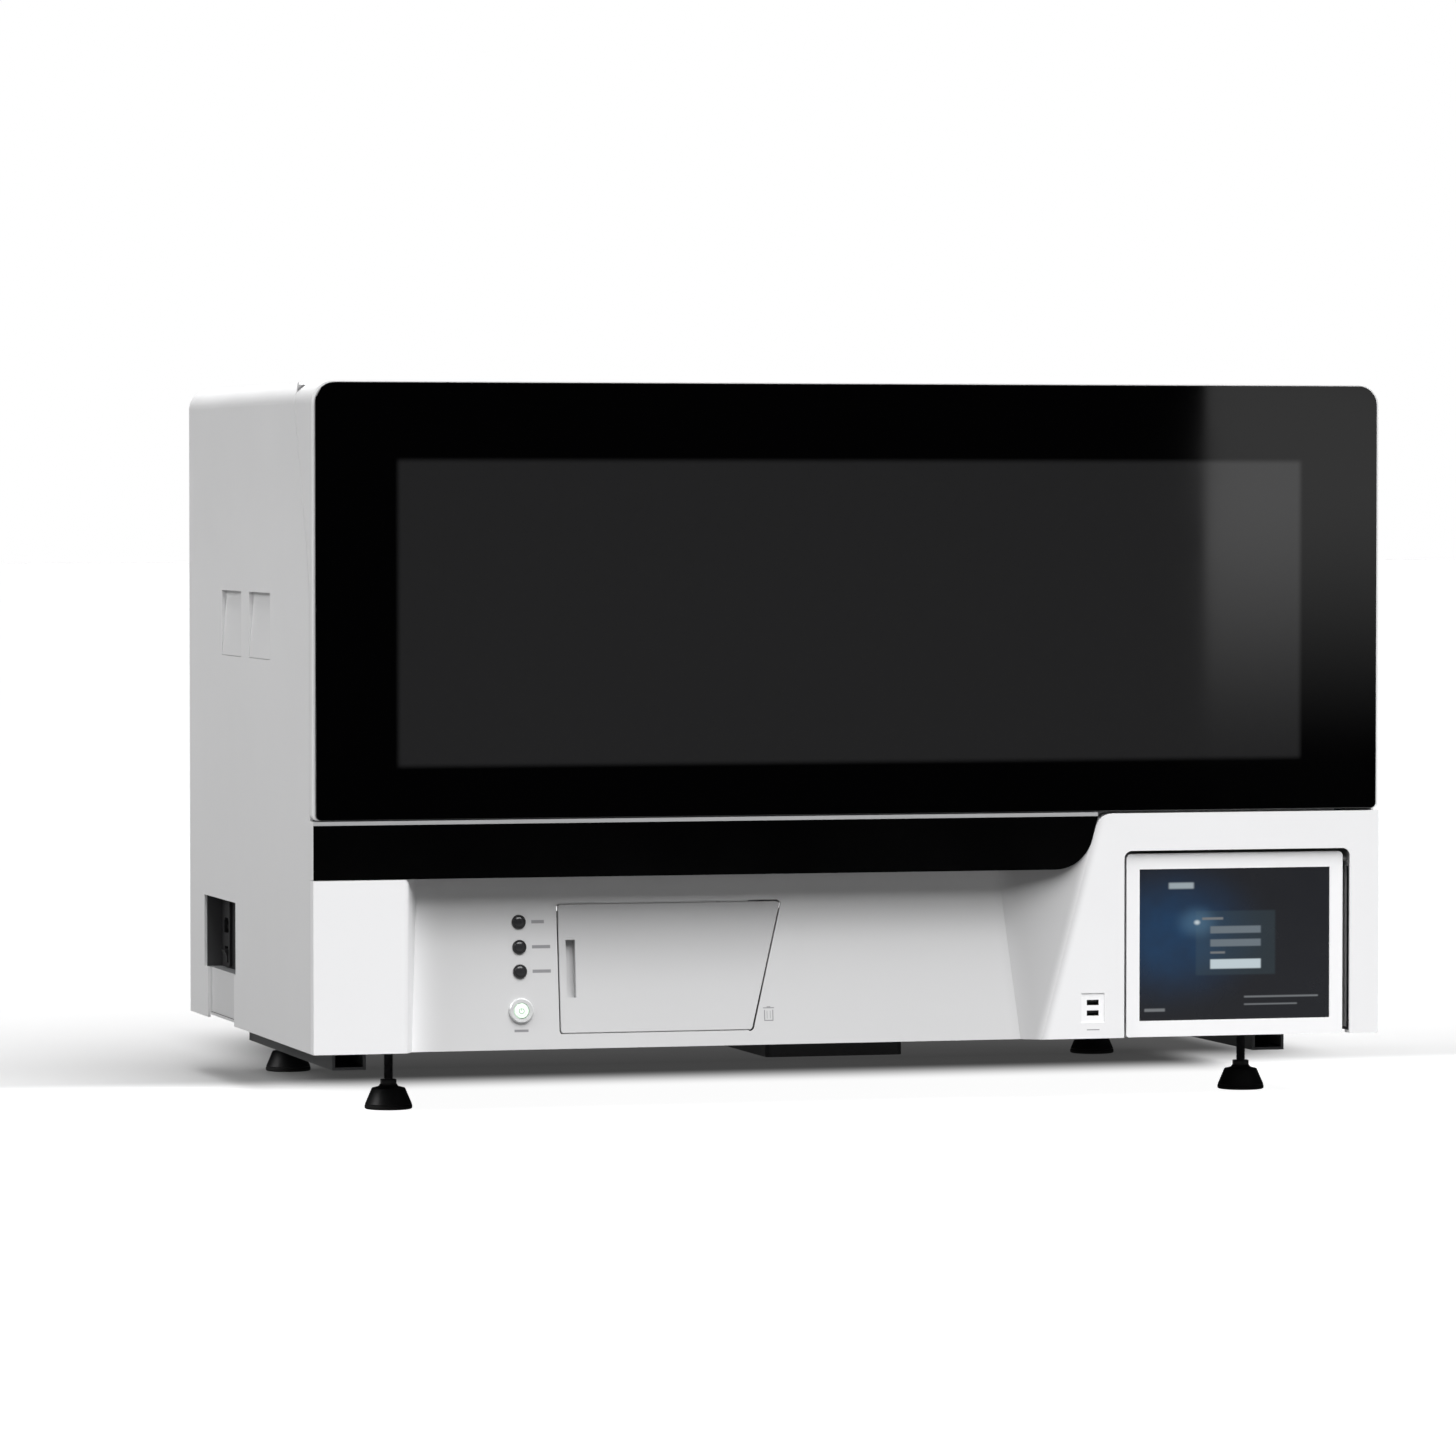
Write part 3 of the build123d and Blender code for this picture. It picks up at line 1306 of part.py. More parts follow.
for name, piece in pieces.items():
    piece.part.label = name
    export_step(piece.part, f"parts/{name}.step")
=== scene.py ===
import json
import math
import bpy
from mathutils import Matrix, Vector

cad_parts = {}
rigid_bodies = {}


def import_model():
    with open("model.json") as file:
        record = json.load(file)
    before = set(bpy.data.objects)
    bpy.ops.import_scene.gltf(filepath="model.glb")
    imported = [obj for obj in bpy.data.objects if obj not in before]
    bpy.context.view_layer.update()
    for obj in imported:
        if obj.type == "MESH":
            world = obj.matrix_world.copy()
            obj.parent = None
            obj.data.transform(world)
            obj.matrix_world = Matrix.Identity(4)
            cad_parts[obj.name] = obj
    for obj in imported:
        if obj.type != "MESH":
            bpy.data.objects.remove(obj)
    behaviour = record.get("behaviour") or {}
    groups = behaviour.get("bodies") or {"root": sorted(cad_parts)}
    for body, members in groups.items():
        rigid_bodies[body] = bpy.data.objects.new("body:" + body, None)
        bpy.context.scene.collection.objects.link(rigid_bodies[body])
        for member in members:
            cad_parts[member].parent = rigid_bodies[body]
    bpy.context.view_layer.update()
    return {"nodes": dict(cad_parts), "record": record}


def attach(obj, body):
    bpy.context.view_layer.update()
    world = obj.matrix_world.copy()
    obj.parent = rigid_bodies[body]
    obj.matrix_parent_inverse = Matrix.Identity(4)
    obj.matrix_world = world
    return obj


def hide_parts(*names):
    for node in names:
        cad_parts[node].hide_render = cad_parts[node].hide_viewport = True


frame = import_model()
nodes = frame["nodes"]
print("frame loaded:", len(nodes), "nodes")


# Everything off, so that an operator only meets what it is given
def deselectAll():
    for item in bpy.context.view_layer.objects:
        item.select_set(False)


deselectAll()

# Camera, lights and floor
viewer = {
    "place": (-2.08596, -7.35006, 0.63909),
    "turn": (88.1153, 0.0, -15.5),      # degrees
    "lens": 173.43,                     # mm, on a sensor this wide
    "sensor": 36.0,
    "sightEnd": 100.0,
}
studio = {
    "backdrop": 1.0,
    "roomLight": 0.12,
    # elevation, azimuth from straight ahead to the right, angular size (degrees) and strength
    "sunKey": (60.0, 18.0, 56.0, 4.9),
    "sunTop": (86.0, 0.0, 60.0, 0.6),
    "sunFill": (36.0, -84.0, 30.0, 1.75),
    "floorFront": -3.3,
    "floorBack": 60.0,
    "floorSide": 30.0,
    "floorColour": (0.53, 0.53, 0.532),
    "floorBounce": (0.12, 0.12, 0.12),   # what other surfaces get back from the floor
    "floorSheen": 0.75,
    "floorLift": 0.05,
    "paintedFrontLight": 0.92,
    "frontFade": (0.20, 0.0),           # Y between which painted light brightens the floor forwards
    "shadeAcross": (-0.46, 0.69),       # the painted shadow under the casing: left and right
    "shadeFront": (0.14, 0.34),         # Y between which it sets in
    "shadeBack": (1.00, 0.50),          # and between which it dies out
    "shadeSoft": 0.07,
    "shadeColour": (0.004, 0.004, 0.004),
}


def addCamera():
    cameraData = bpy.data.cameras.new("camera")
    cameraData.lens = viewer["lens"]
    cameraData.sensor_width = viewer["sensor"]
    cameraData.clip_end = viewer["sightEnd"]
    camera = bpy.data.objects.new("camera", cameraData)
    bpy.context.scene.collection.objects.link(camera)
    camera.location = viewer["place"]
    camera.rotation_euler = [math.radians(a) for a in viewer["turn"]]
    bpy.context.scene.camera = camera


def addSun(name, elevation, azimuth, size, strength):
    # far light from a soft disc; azimuth runs from straight ahead to the viewer's right
    rise, turn = math.radians(elevation), math.radians(azimuth)
    towards = Vector((math.cos(rise) * math.sin(turn), -math.cos(rise) * math.cos(turn), math.sin(rise)))
    sunData = bpy.data.lights.new(name, "SUN")
    sunData.energy = strength
    sunData.angle = math.radians(size)
    sun = bpy.data.objects.new(name, sunData)
    bpy.context.scene.collection.objects.link(sun)
    sun.location = towards * 5
    sun.rotation_euler = (-towards).to_track_quat("-Z", "Y").to_euler()


def addRoom():
    # white for the eye, soft for surfaces, dark in mirror finishes
    world = bpy.data.worlds.new("room")
    bpy.context.scene.world = world
    world.use_nodes = True
    tree = world.node_tree
    tree.nodes.clear()
    output = tree.nodes.new("ShaderNodeOutputWorld")
    path = tree.nodes.new("ShaderNodeLightPath")
    seen = tree.nodes.new("ShaderNodeBackground")
    seen.inputs["Color"].default_value = (1, 1, 1, 1)
    seen.inputs["Strength"].default_value = studio["backdrop"]
    soft = tree.nodes.new("ShaderNodeBackground")
    soft.inputs["Color"].default_value = (1, 1, 1, 1)
    soft.inputs["Strength"].default_value = studio["roomLight"]
    mirrored = tree.nodes.new("ShaderNodeBackground")
    mirrored.inputs["Color"].default_value = (0, 0, 0, 1)
    glossMix = tree.nodes.new("ShaderNodeMixShader")
    eyeMix = tree.nodes.new("ShaderNodeMixShader")
    tree.links.new(path.outputs["Is Glossy Ray"], glossMix.inputs[0])
    tree.links.new(soft.outputs[0], glossMix.inputs[1])
    tree.links.new(mirrored.outputs[0], glossMix.inputs[2])
    tree.links.new(path.outputs["Is Camera Ray"], eyeMix.inputs[0])
    tree.links.new(glossMix.outputs[0], eyeMix.inputs[1])
    tree.links.new(seen.outputs[0], eyeMix.inputs[2])
    tree.links.new(eyeMix.outputs[0], output.inputs["Surface"])


addCamera()
addRoom()
for name in ("sunKey", "sunTop", "sunFill"):
    addSun(name, *studio[name])
bpy.context.scene.view_settings.view_transform = "Standard"
print("camera and lights in place")


# Material helpers: a shader, and what it takes from the surface's own coordinates
def startMaterial(name):
    material = bpy.data.materials.new(name)
    material.use_nodes = True
    tree = material.node_tree
    shader = tree.nodes["Principled BSDF"]
    coordinates = tree.nodes.new("ShaderNodeTexCoord")
    return material, tree, shader, coordinates.outputs["Object"]


def addNoise(tree, vector, scale, detail=2.0, roughness=0.5, stretch=None):
    if stretch:
        mapping = tree.nodes.new("ShaderNodeMapping")
        mapping.inputs["Scale"].default_value = stretch
        tree.links.new(vector, mapping.inputs["Vector"])
        vector = mapping.outputs["Vector"]
    noise = tree.nodes.new("ShaderNodeTexNoise")
    noise.inputs["Scale"].default_value = scale
    noise.inputs["Detail"].default_value = detail
    noise.inputs["Roughness"].default_value = roughness
    tree.links.new(vector, noise.inputs["Vector"])
    return noise.outputs["Fac"]


def addRange(tree, value, low, high):
    spread = tree.nodes.new("ShaderNodeMapRange")
    spread.inputs["From Min"].default_value = 0.25
    spread.inputs["From Max"].default_value = 0.75
    spread.inputs["To Min"].default_value = low
    spread.inputs["To Max"].default_value = high
    tree.links.new(value, spread.inputs["Value"])
    return spread.outputs["Result"]


def addRamp(tree, value, colours, places=(0.3, 0.7)):
    ramp = tree.nodes.new("ShaderNodeValToRGB")
    for stop, colour, place in zip(ramp.color_ramp.elements, colours, places):
        stop.color = (*colour, 1.0)
        stop.position = place
    tree.links.new(value, ramp.inputs["Fac"])
    return ramp.outputs["Color"]


def addBump(tree, shader, height, strength, distance):
    bump = tree.nodes.new("ShaderNodeBump")
    bump.inputs["Strength"].default_value = strength
    bump.inputs["Distance"].default_value = distance
    tree.links.new(height, bump.inputs["Height"])
    tree.links.new(bump.outputs["Normal"], shader.inputs["Normal"])


def coatedSurface(name, colour, roughness=(0.38, 0.46), grain=650.0, depth=0.00005, shade=0.03):
    # paint or moulded plastic: faint clouds in the colour, uneven sheen, fine orange peel
    material, tree, shader, place = startMaterial(name)
    clouds = addNoise(tree, place, 2.2, 3.0)
    darker = [c * (1 - shade) for c in colour]
    tree.links.new(addRamp(tree, clouds, (darker, colour)), shader.inputs["Base Color"])
    tree.links.new(addRange(tree, addNoise(tree, place, 14.0, 4.0), *roughness), shader.inputs["Roughness"])
    addBump(tree, shader, addNoise(tree, place, grain, 2.0), 0.35, depth)
    return material


def brushedSurface(name, colour, stretch, roughness=(0.25, 0.42), metallic=1.0):
    # drawn metal: fine lines along one axis
    material, tree, shader, place = startMaterial(name)
    lines = addNoise(tree, place, 60.0, 6.0, 0.7, stretch)
    darker = [c * 0.82 for c in colour]
    tree.links.new(addRamp(tree, lines, (darker, colour)), shader.inputs["Base Color"])
    shader.inputs["Metallic"].default_value = metallic
    tree.links.new(addRange(tree, lines, *roughness), shader.inputs["Roughness"])
    addBump(tree, shader, lines, 0.2, 0.00003)
    return material


# Each coat: colour, roughness between two limits, grain and its depth; each metal: colour, the lines'
# stretch, roughness and how metallic
finishes = {
    "whitePowder": coatedSurface("whitePowder", (0.78, 0.78, 0.785), (0.40, 0.50), 900.0, 0.00004),
    "whiteMoulding": coatedSurface("whiteMoulding", (0.915, 0.915, 0.925), (0.30, 0.38), 1400.0, 0.00002),
    "blackMoulding": coatedSurface("blackMoulding", (0.012, 0.012, 0.013), (0.42, 0.55), 1100.0, 0.00005),
    "greyMoulding": coatedSurface("greyMoulding", (0.20, 0.205, 0.21), (0.42, 0.55), 1100.0, 0.00005),
    "blackRubber": coatedSurface("blackRubber", (0.010, 0.010, 0.010), (0.65, 0.8), 500.0, 0.0001),
    "blackPaint": coatedSurface("blackPaint", (0.022, 0.022, 0.024), (0.45, 0.55), 700.0, 0.00006),
    "framePaint": coatedSurface("framePaint", (0.16, 0.165, 0.17), (0.5, 0.6), 600.0, 0.00008),
    "zincPlate": brushedSurface("zincPlate", (0.56, 0.57, 0.58), (1, 1, 1), (0.35, 0.5)),
    "drawnSteel": brushedSurface("drawnSteel", (0.60, 0.60, 0.61), (0.08, 1, 1)),
    "milledAluminium": brushedSurface("milledAluminium", (0.72, 0.73, 0.75), (1, 0.08, 1), (0.3, 0.45)),
    "satinTrim": brushedSurface("satinTrim", (0.50, 0.505, 0.51), (0.05, 1, 1), (0.3, 0.4), 0.25),
    "satinRing": brushedSurface("satinRing", (0.74, 0.75, 0.75), (1, 0.3, 1), (0.22, 0.3), 0.2),
    "greyPaint": coatedSurface("greyPaint", (0.115, 0.117, 0.12), (0.45, 0.55), 700.0, 0.00006),
    "bayMoulding": coatedSurface("bayMoulding", (0.050, 0.050, 0.052), (0.4, 0.5), 1200.0, 0.00004),
    # painted shade: a greyer copy of the white powder, on the top cover
    "topPaintedShadePowder": coatedSurface("topPaintedShadePowder", (0.71, 0.71, 0.715), (0.40, 0.50), 900.0, 0.00004),
    # painted shade: a greyer copy of the white powder, in the channel under the connector bay and on the
    # base plate's left face
    "powderPaintedShade": coatedSurface("powderPaintedShade", (0.60, 0.60, 0.605), (0.40, 0.50), 900.0, 0.00004),
    # painted shade: a mid grey copy of the white moulding, in the screen's bay
    "recessPaintedShade": coatedSurface("recessPaintedShade", (0.34, 0.34, 0.345), (0.42, 0.52), 1200.0, 0.00003),
    "gripMoulding": coatedSurface("gripMoulding", (0.73, 0.73, 0.735), (0.42, 0.50), 1300.0, 0.00003),
    "sealRubber": coatedSurface("sealRubber", (0.50, 0.50, 0.505), (0.5, 0.6), 500.0, 0.00004),
    "boardGreen": coatedSurface("boardGreen", (0.015, 0.12, 0.04), (0.3, 0.4), 300.0, 0.00008),
}
print("materials ready:", len(finishes))

# Nodes by finish; those that a finer piece replaces aren't painted
nodeFinishes = {
    "topPaintedShadePowder": ["top_cover"],
    "whitePowder": ["rear_panel", "chamber_back_wall", "chamber_side_walls", "chamber_ceiling",
                    "door_frame"],
    "whiteMoulding": ["screen_housing", "exhaust_filter", "usb_ports"],
    "gripMoulding": ["finger_grips"],
    "recessPaintedShade": ["screen_bay"],
    "blackMoulding": ["power_inlet", "nest_guides", "fan_frames", "rocker_switch", "fan_rotor_left",
                      "fan_rotor_right"],
    "greyMoulding": ["data_ports", "waste_bin", "pipette_head"],
    "blackRubber": ["door_seal"],
    "blackPaint": ["base_plate", "underside_cover"],
    "framePaint": ["frame_posts", "frame_beams"],
    "zincPlate": ["power_supply"],
    "drawnSteel": ["foot_lock_nuts", "work_deck", "access_door_hinges", "door_hinge_brackets",
                   "door_hinge_pins"],
    "milledAluminium": ["plate_nests", "heater_block", "gantry_beam", "magnet_column",
                        "door_hinge_arms", "x_carriage", "y_carriage", "rod_head", "sleeve_carrier"],
    "satinTrim": ["trim_strip"],
    "satinRing": ["power_button_ring"],
    "greyPaint": ["base_rails"],
    "bayMoulding": ["connector_bay"],
    "boardGreen": ["control_board"],
}


def paint(nodeName, material):
    mesh = nodes[nodeName].data
    mesh.materials.clear()
    mesh.materials.append(material)


for finishName, names in nodeFinishes.items():
    for nodeName in names:
        paint(nodeName, finishes[finishName])


# Front glass: black print round a dark grey window
glassLook = {
    "windowHalfWidth": 0.4905,
    "windowLow": 0.363,
    "windowHigh": 0.677,
    "edgeBlur": 0.004,
    "print": (0.0006, 0.0006, 0.0007),
    "window": (0.0165, 0.0165, 0.0170),
    "printSheen": 0.5,
    "windowSheen": 0.35,                # added to the print's, inside the window
    "smudges": (0.03, 0.07),
    "refraction": 1.5,
}


def addMath(tree, kind, first, second=None, clamp=False):
    node = tree.nodes.new("ShaderNodeMath")
    node.operation = kind
    node.use_clamp = clamp
    for socket, value in zip(node.inputs, (first, second)):
        if value is None:
            continue
        if isinstance(value, (int, float)):
            socket.default_value = value
        else:
            tree.links.new(value, socket)
    return node.outputs[0]


def addFade(tree, value, start, end, kind="SMOOTHSTEP"):
    # 0 at the start, 1 at the end
    fade = tree.nodes.new("ShaderNodeMapRange")
    fade.interpolation_type = kind
    fade.inputs["From Min"].default_value = start
    fade.inputs["From Max"].default_value = end
    tree.links.new(value, fade.inputs["Value"])
    return fade.outputs[0]


def addInside(tree, value, low, high, blur):
    # 1 between two limits, falling to 0 over the blur on each side
    rise = addFade(tree, value, low - blur, low + blur)
    fall = addFade(tree, value, high + blur, high - blur)
    return addMath(tree, "MULTIPLY", rise, fall)


def mixColour(tree, factor, first, second):
    mix = tree.nodes.new("ShaderNodeMix")
    mix.data_type = "RGBA"
    tree.links.new(factor, mix.inputs["Factor"])
    for socket, value in ((mix.inputs[6], first), (mix.inputs[7], second)):
        if isinstance(value, tuple):
            socket.default_value = (*value, 1.0)
        else:
            tree.links.new(value, socket)
    return mix.outputs[2]


def addPatch(tree, axes, patch, blur):
    # 1 inside a rectangle in X and Z
    left, right, low, high = patch
    across = addInside(tree, axes.outputs["X"], left, right, blur)
    upright = addInside(tree, axes.outputs["Z"], low, high, blur)
    return addMath(tree, "MULTIPLY", across, upright)


def printedGlass():
    material, tree, shader, place = startMaterial("printedGlass")
    axes = tree.nodes.new("ShaderNodeSeparateXYZ")
    tree.links.new(place, axes.inputs[0])
    half, blur = glassLook["windowHalfWidth"], glassLook["edgeBlur"]
    opening = (-half, half, glassLook["windowLow"], glassLook["windowHigh"])
    window = addPatch(tree, axes, opening, blur)
    colour = mixColour(tree, window, glassLook["print"], glassLook["window"])
    tree.links.new(colour, shader.inputs["Base Color"])
    sheen = addMath(tree, "MULTIPLY_ADD", window, glassLook["windowSheen"])
    sheen.node.inputs[2].default_value = glassLook["printSheen"]
    tree.links.new(sheen, shader.inputs["Specular IOR Level"])
    smudges = addRange(tree, addNoise(tree, place, 5.0, 4.0), *glassLook["smudges"])
    tree.links.new(smudges, shader.inputs["Roughness"])
    shader.inputs["IOR"].default_value = glassLook["refraction"]
    return material


paint("door_glass", printedGlass())


# Front band: the same black as the print, a little less smooth
bandLook = {
    "tones": ((0.0006, 0.0006, 0.0007), (0.0012, 0.0012, 0.0013)),
    "roughness": (0.05, 0.1),
}


def glossBlack():
    material, tree, shader, place = startMaterial("glossBlack")
    colour = addRamp(tree, addNoise(tree, place, 3.0), bandLook["tones"])
    tree.links.new(colour, shader.inputs["Base Color"])
    sheen = addRange(tree, addNoise(tree, place, 9.0, 4.0), *bandLook["roughness"])
    tree.links.new(sheen, shader.inputs["Roughness"])
    return material


paint("front_band", glossBlack())


# Printed marks of the lower front: plain bars beside the lamps, a bin by the hatch
marks = {
    "ink": (0.25, 0.25, 0.26),
    "blur": 0.0003,
    # left, right, low, high (metres)
    "bars": [
        (-0.3435, -0.3300, 0.1978, 0.2012),
        (-0.3435, -0.3240, 0.1720, 0.1754),
        (-0.3435, -0.3240, 0.1468, 0.1502),
        (-0.3645, -0.3495, 0.0862, 0.0888),
        (0.2530, 0.2670, 0.0768, 0.0778),
        (-0.0970, -0.0850, 0.1056, 0.1066),
        (-0.0930, -0.0890, 0.1066, 0.1076),
    ],
    "binSides": [
        (-0.0960, -0.0950, 0.0935, 0.1040),
        (-0.0870, -0.0860, 0.0935, 0.1040),
        (-0.0930, -0.0925, 0.0950, 0.1030),
        (-0.0895, -0.0890, 0.0950, 0.1030),
        (-0.0960, -0.0860, 0.0925, 0.0935),
    ],
}


def addPatches(tree, axes, patches, blur):
    total = None
    for patch in patches:
        here = addPatch(tree, axes, patch, blur)
        total = here if total is None else addMath(tree, "MAXIMUM", total, here)
    return total


# The scoop's back is darker than the pillar and the fascia beside it, with painted shade in its middle and
# on its ramp, and painted light at its top and beside its left wall
scoop = {
    "white": (0.84, 0.84, 0.85),        # the pillar and the fascia
    "coat": ((0.30, 0.38), 1400.0, 0.00002),
    "lip": -0.3328,                     # Y of the pillar's front
    "back": -0.3190,                    # and of the scoop's back at its foot
    "grey": (0.565, 0.565, 0.57),
    "rampPaintedShade": (0.45, 0.45, 0.455),
    "middlePaintedShade": (0.51, 0.51, 0.515),
    "topPaintedLight": (0.67, 0.67, 0.675),     # painted light, standing in for the soft light that reaches the scoop's top from the sides
    "middleRise": (0.170, 0.203),       # Z between which the middle's painted shade sets in
    "topRise": (0.205, 0.238),          # and the top's painted light
    "foot": 0.068,
    "fascia": (0.203, 0.2661),          # X at the foot and slope of the slanted front edge
    "ramp": (0.184, -0.1059),           # and of the crease where the ramp leaves the back
    "rampSoft": (-0.012, 0.020),        # how far the ramp's painted shade blends into the back's grey
    "edgeSoft": (-0.008, 0.010),        # how far the paleness fades, from the ramp to the front
    "leftPaintedLight": (-0.474, -0.430),       # and the painted light beside the left wall, in X
    "leftPower": 2.5,                   # how fast that one falls
}


def pastLine(tree, axes, line):
    # how far to the right of a slanted line, in X
    start, slope = line
    height = addMath(tree, "SUBTRACT", axes.outputs["Z"], scoop["foot"])
    across = addMath(tree, "SUBTRACT", axes.outputs["X"], start)
    return addMath(tree, "SUBTRACT", across, addMath(tree, "MULTIPLY", height, slope))


def markedMouldingPaintedShade():
    material = coatedSurface("markedMouldingPaintedShade", scoop["white"], *scoop["coat"])
    tree = material.node_tree
    shader = tree.nodes["Principled BSDF"]
    axes = tree.nodes.new("ShaderNodeSeparateXYZ")
    tree.links.new(tree.nodes["Texture Coordinate"].outputs["Object"], axes.inputs[0])
    printed = addPatches(tree, axes, marks["bars"] + marks["binSides"], marks["blur"])
    # pale on the pillar and its lip, with painted light beside the left wall, pale past the slanted edge,
    # grey between them
    shallow = addFade(tree, axes.outputs["Y"], scoop["back"], scoop["lip"])
    inner, outer = scoop["leftPaintedLight"][1], scoop["leftPaintedLight"][0]
    beside = addFade(tree, axes.outputs["X"], inner, outer, "LINEAR")
    left = addMath(tree, "MAXIMUM", shallow, addMath(tree, "POWER", beside, scoop["leftPower"]))
    onLeft = addMath(tree, "LESS_THAN", axes.outputs["X"], 0.0)
    left = addMath(tree, "MULTIPLY", left, onLeft)
    right = addFade(tree, pastLine(tree, axes, scoop["fascia"]), *scoop["edgeSoft"])
    pale = addMath(tree, "MAXIMUM", left, right)
    # painted shade on the ramp, painted shade in the middle under the band, painted light at the top
    rampShadeMask = addFade(tree, pastLine(tree, axes, scoop["ramp"]), *scoop["rampSoft"])
    middle = addFade(tree, axes.outputs["Z"], *scoop["middleRise"])
    top = addFade(tree, axes.outputs["Z"], *scoop["topRise"])
    grey = mixColour(tree, middle, scoop["grey"], scoop["middlePaintedShade"])
    grey = mixColour(tree, top, grey, scoop["topPaintedLight"])
    grey = mixColour(tree, rampShadeMask, grey, scoop["rampPaintedShade"])
    plain = mixColour(tree, pale, grey, shader.inputs["Base Color"].links[0].from_socket)
    tree.links.new(mixColour(tree, printed, plain, marks["ink"]), shader.inputs["Base Color"])
    return material


# Coats whose tone changes softly with height, as painted shade: low and high tone, the heights, and the
# coat itself
shadedLook = {
    # painted shade on the hatch: darker towards its top, under the band
    "hatchPaintedShade": ((0.555, 0.555, 0.56), (0.43, 0.43, 0.435), 0.12, 0.215,
                      (0.32, 0.40), 1400.0, 0.00002),
    # painted shade on the side panels: darker towards the bottom
    "sidePaintedShade": ((0.705, 0.705, 0.71), (0.78, 0.78, 0.785), 0.05, 0.55,
                   (0.40, 0.50), 900.0, 0.00004),
}


def shadedCoat(name, lowTone, highTone, low, high, *coat):
    material = coatedSurface(name, highTone, *coat)
    tree = material.node_tree
    shader = tree.nodes["Principled BSDF"]
    axes = tree.nodes.new("ShaderNodeSeparateXYZ")
    tree.links.new(tree.nodes["Texture Coordinate"].outputs["Object"], axes.inputs[0])
    rise = addFade(tree, axes.outputs["Z"], low, high)
    plain = shader.inputs["Base Color"].links[0].from_socket
    tree.links.new(mixColour(tree, rise, lowTone, plain), shader.inputs["Base Color"])
    return material


paint("lower_fascia", markedMouldingPaintedShade())
paint("access_door", shadedCoat("hatchPaintedShade", *shadedLook["hatchPaintedShade"]))
for nodeName in ("left_side_panel", "right_side_panel"):
    paint(nodeName, shadedCoat("sidePaintedShade", *shadedLook["sidePaintedShade"]))

# Touch screen: a dark page with a blue glow, and a form of plain bars
page = {
    # the panel's edges in X and Z (metres); all other places are shares of the page
    "left": 0.31315, "right": 0.52675, "low": 0.0849, "high": 0.2457,
    "ground": (0.0070, 0.0080, 0.0105),
    "glow": (0.006, 0.038, 0.098),
    "glowPlace": (0.17, 0.57),
    "glowSize": 0.60,
    "form": (0.297, 0.714, 0.295, 0.718),
    "formTint": (0.046, 0.078, 0.095),
    "formShare": 0.27,
    "formBlur": 0.008,
    "fields": [(0.373, 0.638, 0.570, 0.617), (0.373, 0.638, 0.483, 0.530)],
    "fieldTint": (0.135, 0.165, 0.19),
    "fieldBlur": 0.006,
    "button": (0.373, 0.638, 0.336, 0.398),
    "bright": (0.50, 0.58, 0.62),
    "halo": (0.16, 0.34, 0.52),
    "haloSize": 0.15,
    "haloShare": 0.22,
    "lines": [(0.551, 0.941, 0.142, 0.153), (0.551, 0.830, 0.093, 0.102), (0.028, 0.135, 0.060, 0.080),
              (0.330, 0.440, 0.660, 0.676), (0.373, 0.450, 0.436, 0.450)],
    "lineTint": (0.16, 0.17, 0.18),
    "lineBlur": 0.005,
    "heading": (0.155, 0.285, 0.868, 0.908),
    "headingShare": 0.6,
    "spot": (0.303, 0.644),
    "spotSize": 0.026,
    "brightness": 1.0,
    "unlit": (0.004, 0.004, 0.005, 1),
    "sheen": (0.22, 0.3),
}


def displayPage():
    material, tree, shader, place = startMaterial("displayPage")
    wide = page["right"] - page["left"]
    tall = page["high"] - page["low"]
    # page coordinates: 0 to 1 across and up, in X and Z
    mapping = tree.nodes.new("ShaderNodeMapping")
    mapping.vector_type = "POINT"
    mapping.inputs["Location"].default_value = (-page["left"] / wide, 0, -page["low"] / tall)
    mapping.inputs["Scale"].default_value = (1 / wide, 0, 1 / tall)
    tree.links.new(place, mapping.inputs["Vector"])
    axes = tree.nodes.new("ShaderNodeSeparateXYZ")
    tree.links.new(mapping.outputs["Vector"], axes.inputs[0])

    def near(centre, size):
        gap = tree.nodes.new("ShaderNodeVectorMath")
        gap.operation = "DISTANCE"
        tree.links.new(mapping.outputs["Vector"], gap.inputs[0])
        gap.inputs[1].default_value = (centre[0], 0, centre[1])
        return addFade(tree, gap.outputs["Value"], size, 0.0, "SMOOTHERSTEP")

    def printOver(ground, mask, tint, share=None):
        if share:
            mask = addMath(tree, "MULTIPLY", mask, share)
        return mixColour(tree, mask, ground, tint)

    mist = addRange(tree, addNoise(tree, place, 45.0, 4.0), 0.7, 1.0)
    glow = addMath(tree, "MULTIPLY", near(page["glowPlace"], page["glowSize"]), mist)
    colour = mixColour(tree, glow, page["ground"], page["glow"])
    form = addPatch(tree, axes, page["form"], page["formBlur"])
    colour = printOver(colour, form, page["formTint"], page["formShare"])
    halo = near(page["spot"], page["haloSize"])
    colour = printOver(colour, halo, page["halo"], page["haloShare"])
    colour = printOver(colour, addPatches(tree, axes, page["fields"], page["fieldBlur"]), page["fieldTint"])
    colour = printOver(colour, addPatches(tree, axes, page["lines"], page["lineBlur"]), page["lineTint"])
    colour = printOver(colour, addPatch(tree, axes, page["button"], page["fieldBlur"]), page["bright"])
    heading = addPatch(tree, axes, page["heading"], page["formBlur"])
    colour = printOver(colour, heading, page["bright"], page["headingShare"])
    colour = printOver(colour, near(page["spot"], page["spotSize"]), page["bright"])
    shader.inputs["Base Color"].default_value = page["unlit"]
    tree.links.new(colour, shader.inputs["Emission Color"])
    shader.inputs["Emission Strength"].default_value = page["brightness"]
    sheen = addRange(tree, addNoise(tree, place, 20.0, 3.0), *page["sheen"])
    tree.links.new(sheen, shader.inputs["Roughness"])
    return material


paint("display_panel", displayPage())
paint("uv_lamp", coatedSurface("lampGlass", (0.75, 0.8, 0.86), (0.08, 0.12), 100.0, 0.00001))


def paintFaces(nodeName, material, chosen):
    # a second finish on the faces that a test picks by centre and normal
    mesh = nodes[nodeName].data
    mesh.materials.append(material)
    slot = len(mesh.materials) - 1
    for face in mesh.polygons:
        if chosen(face.center, face.normal):
            face.material_index = slot


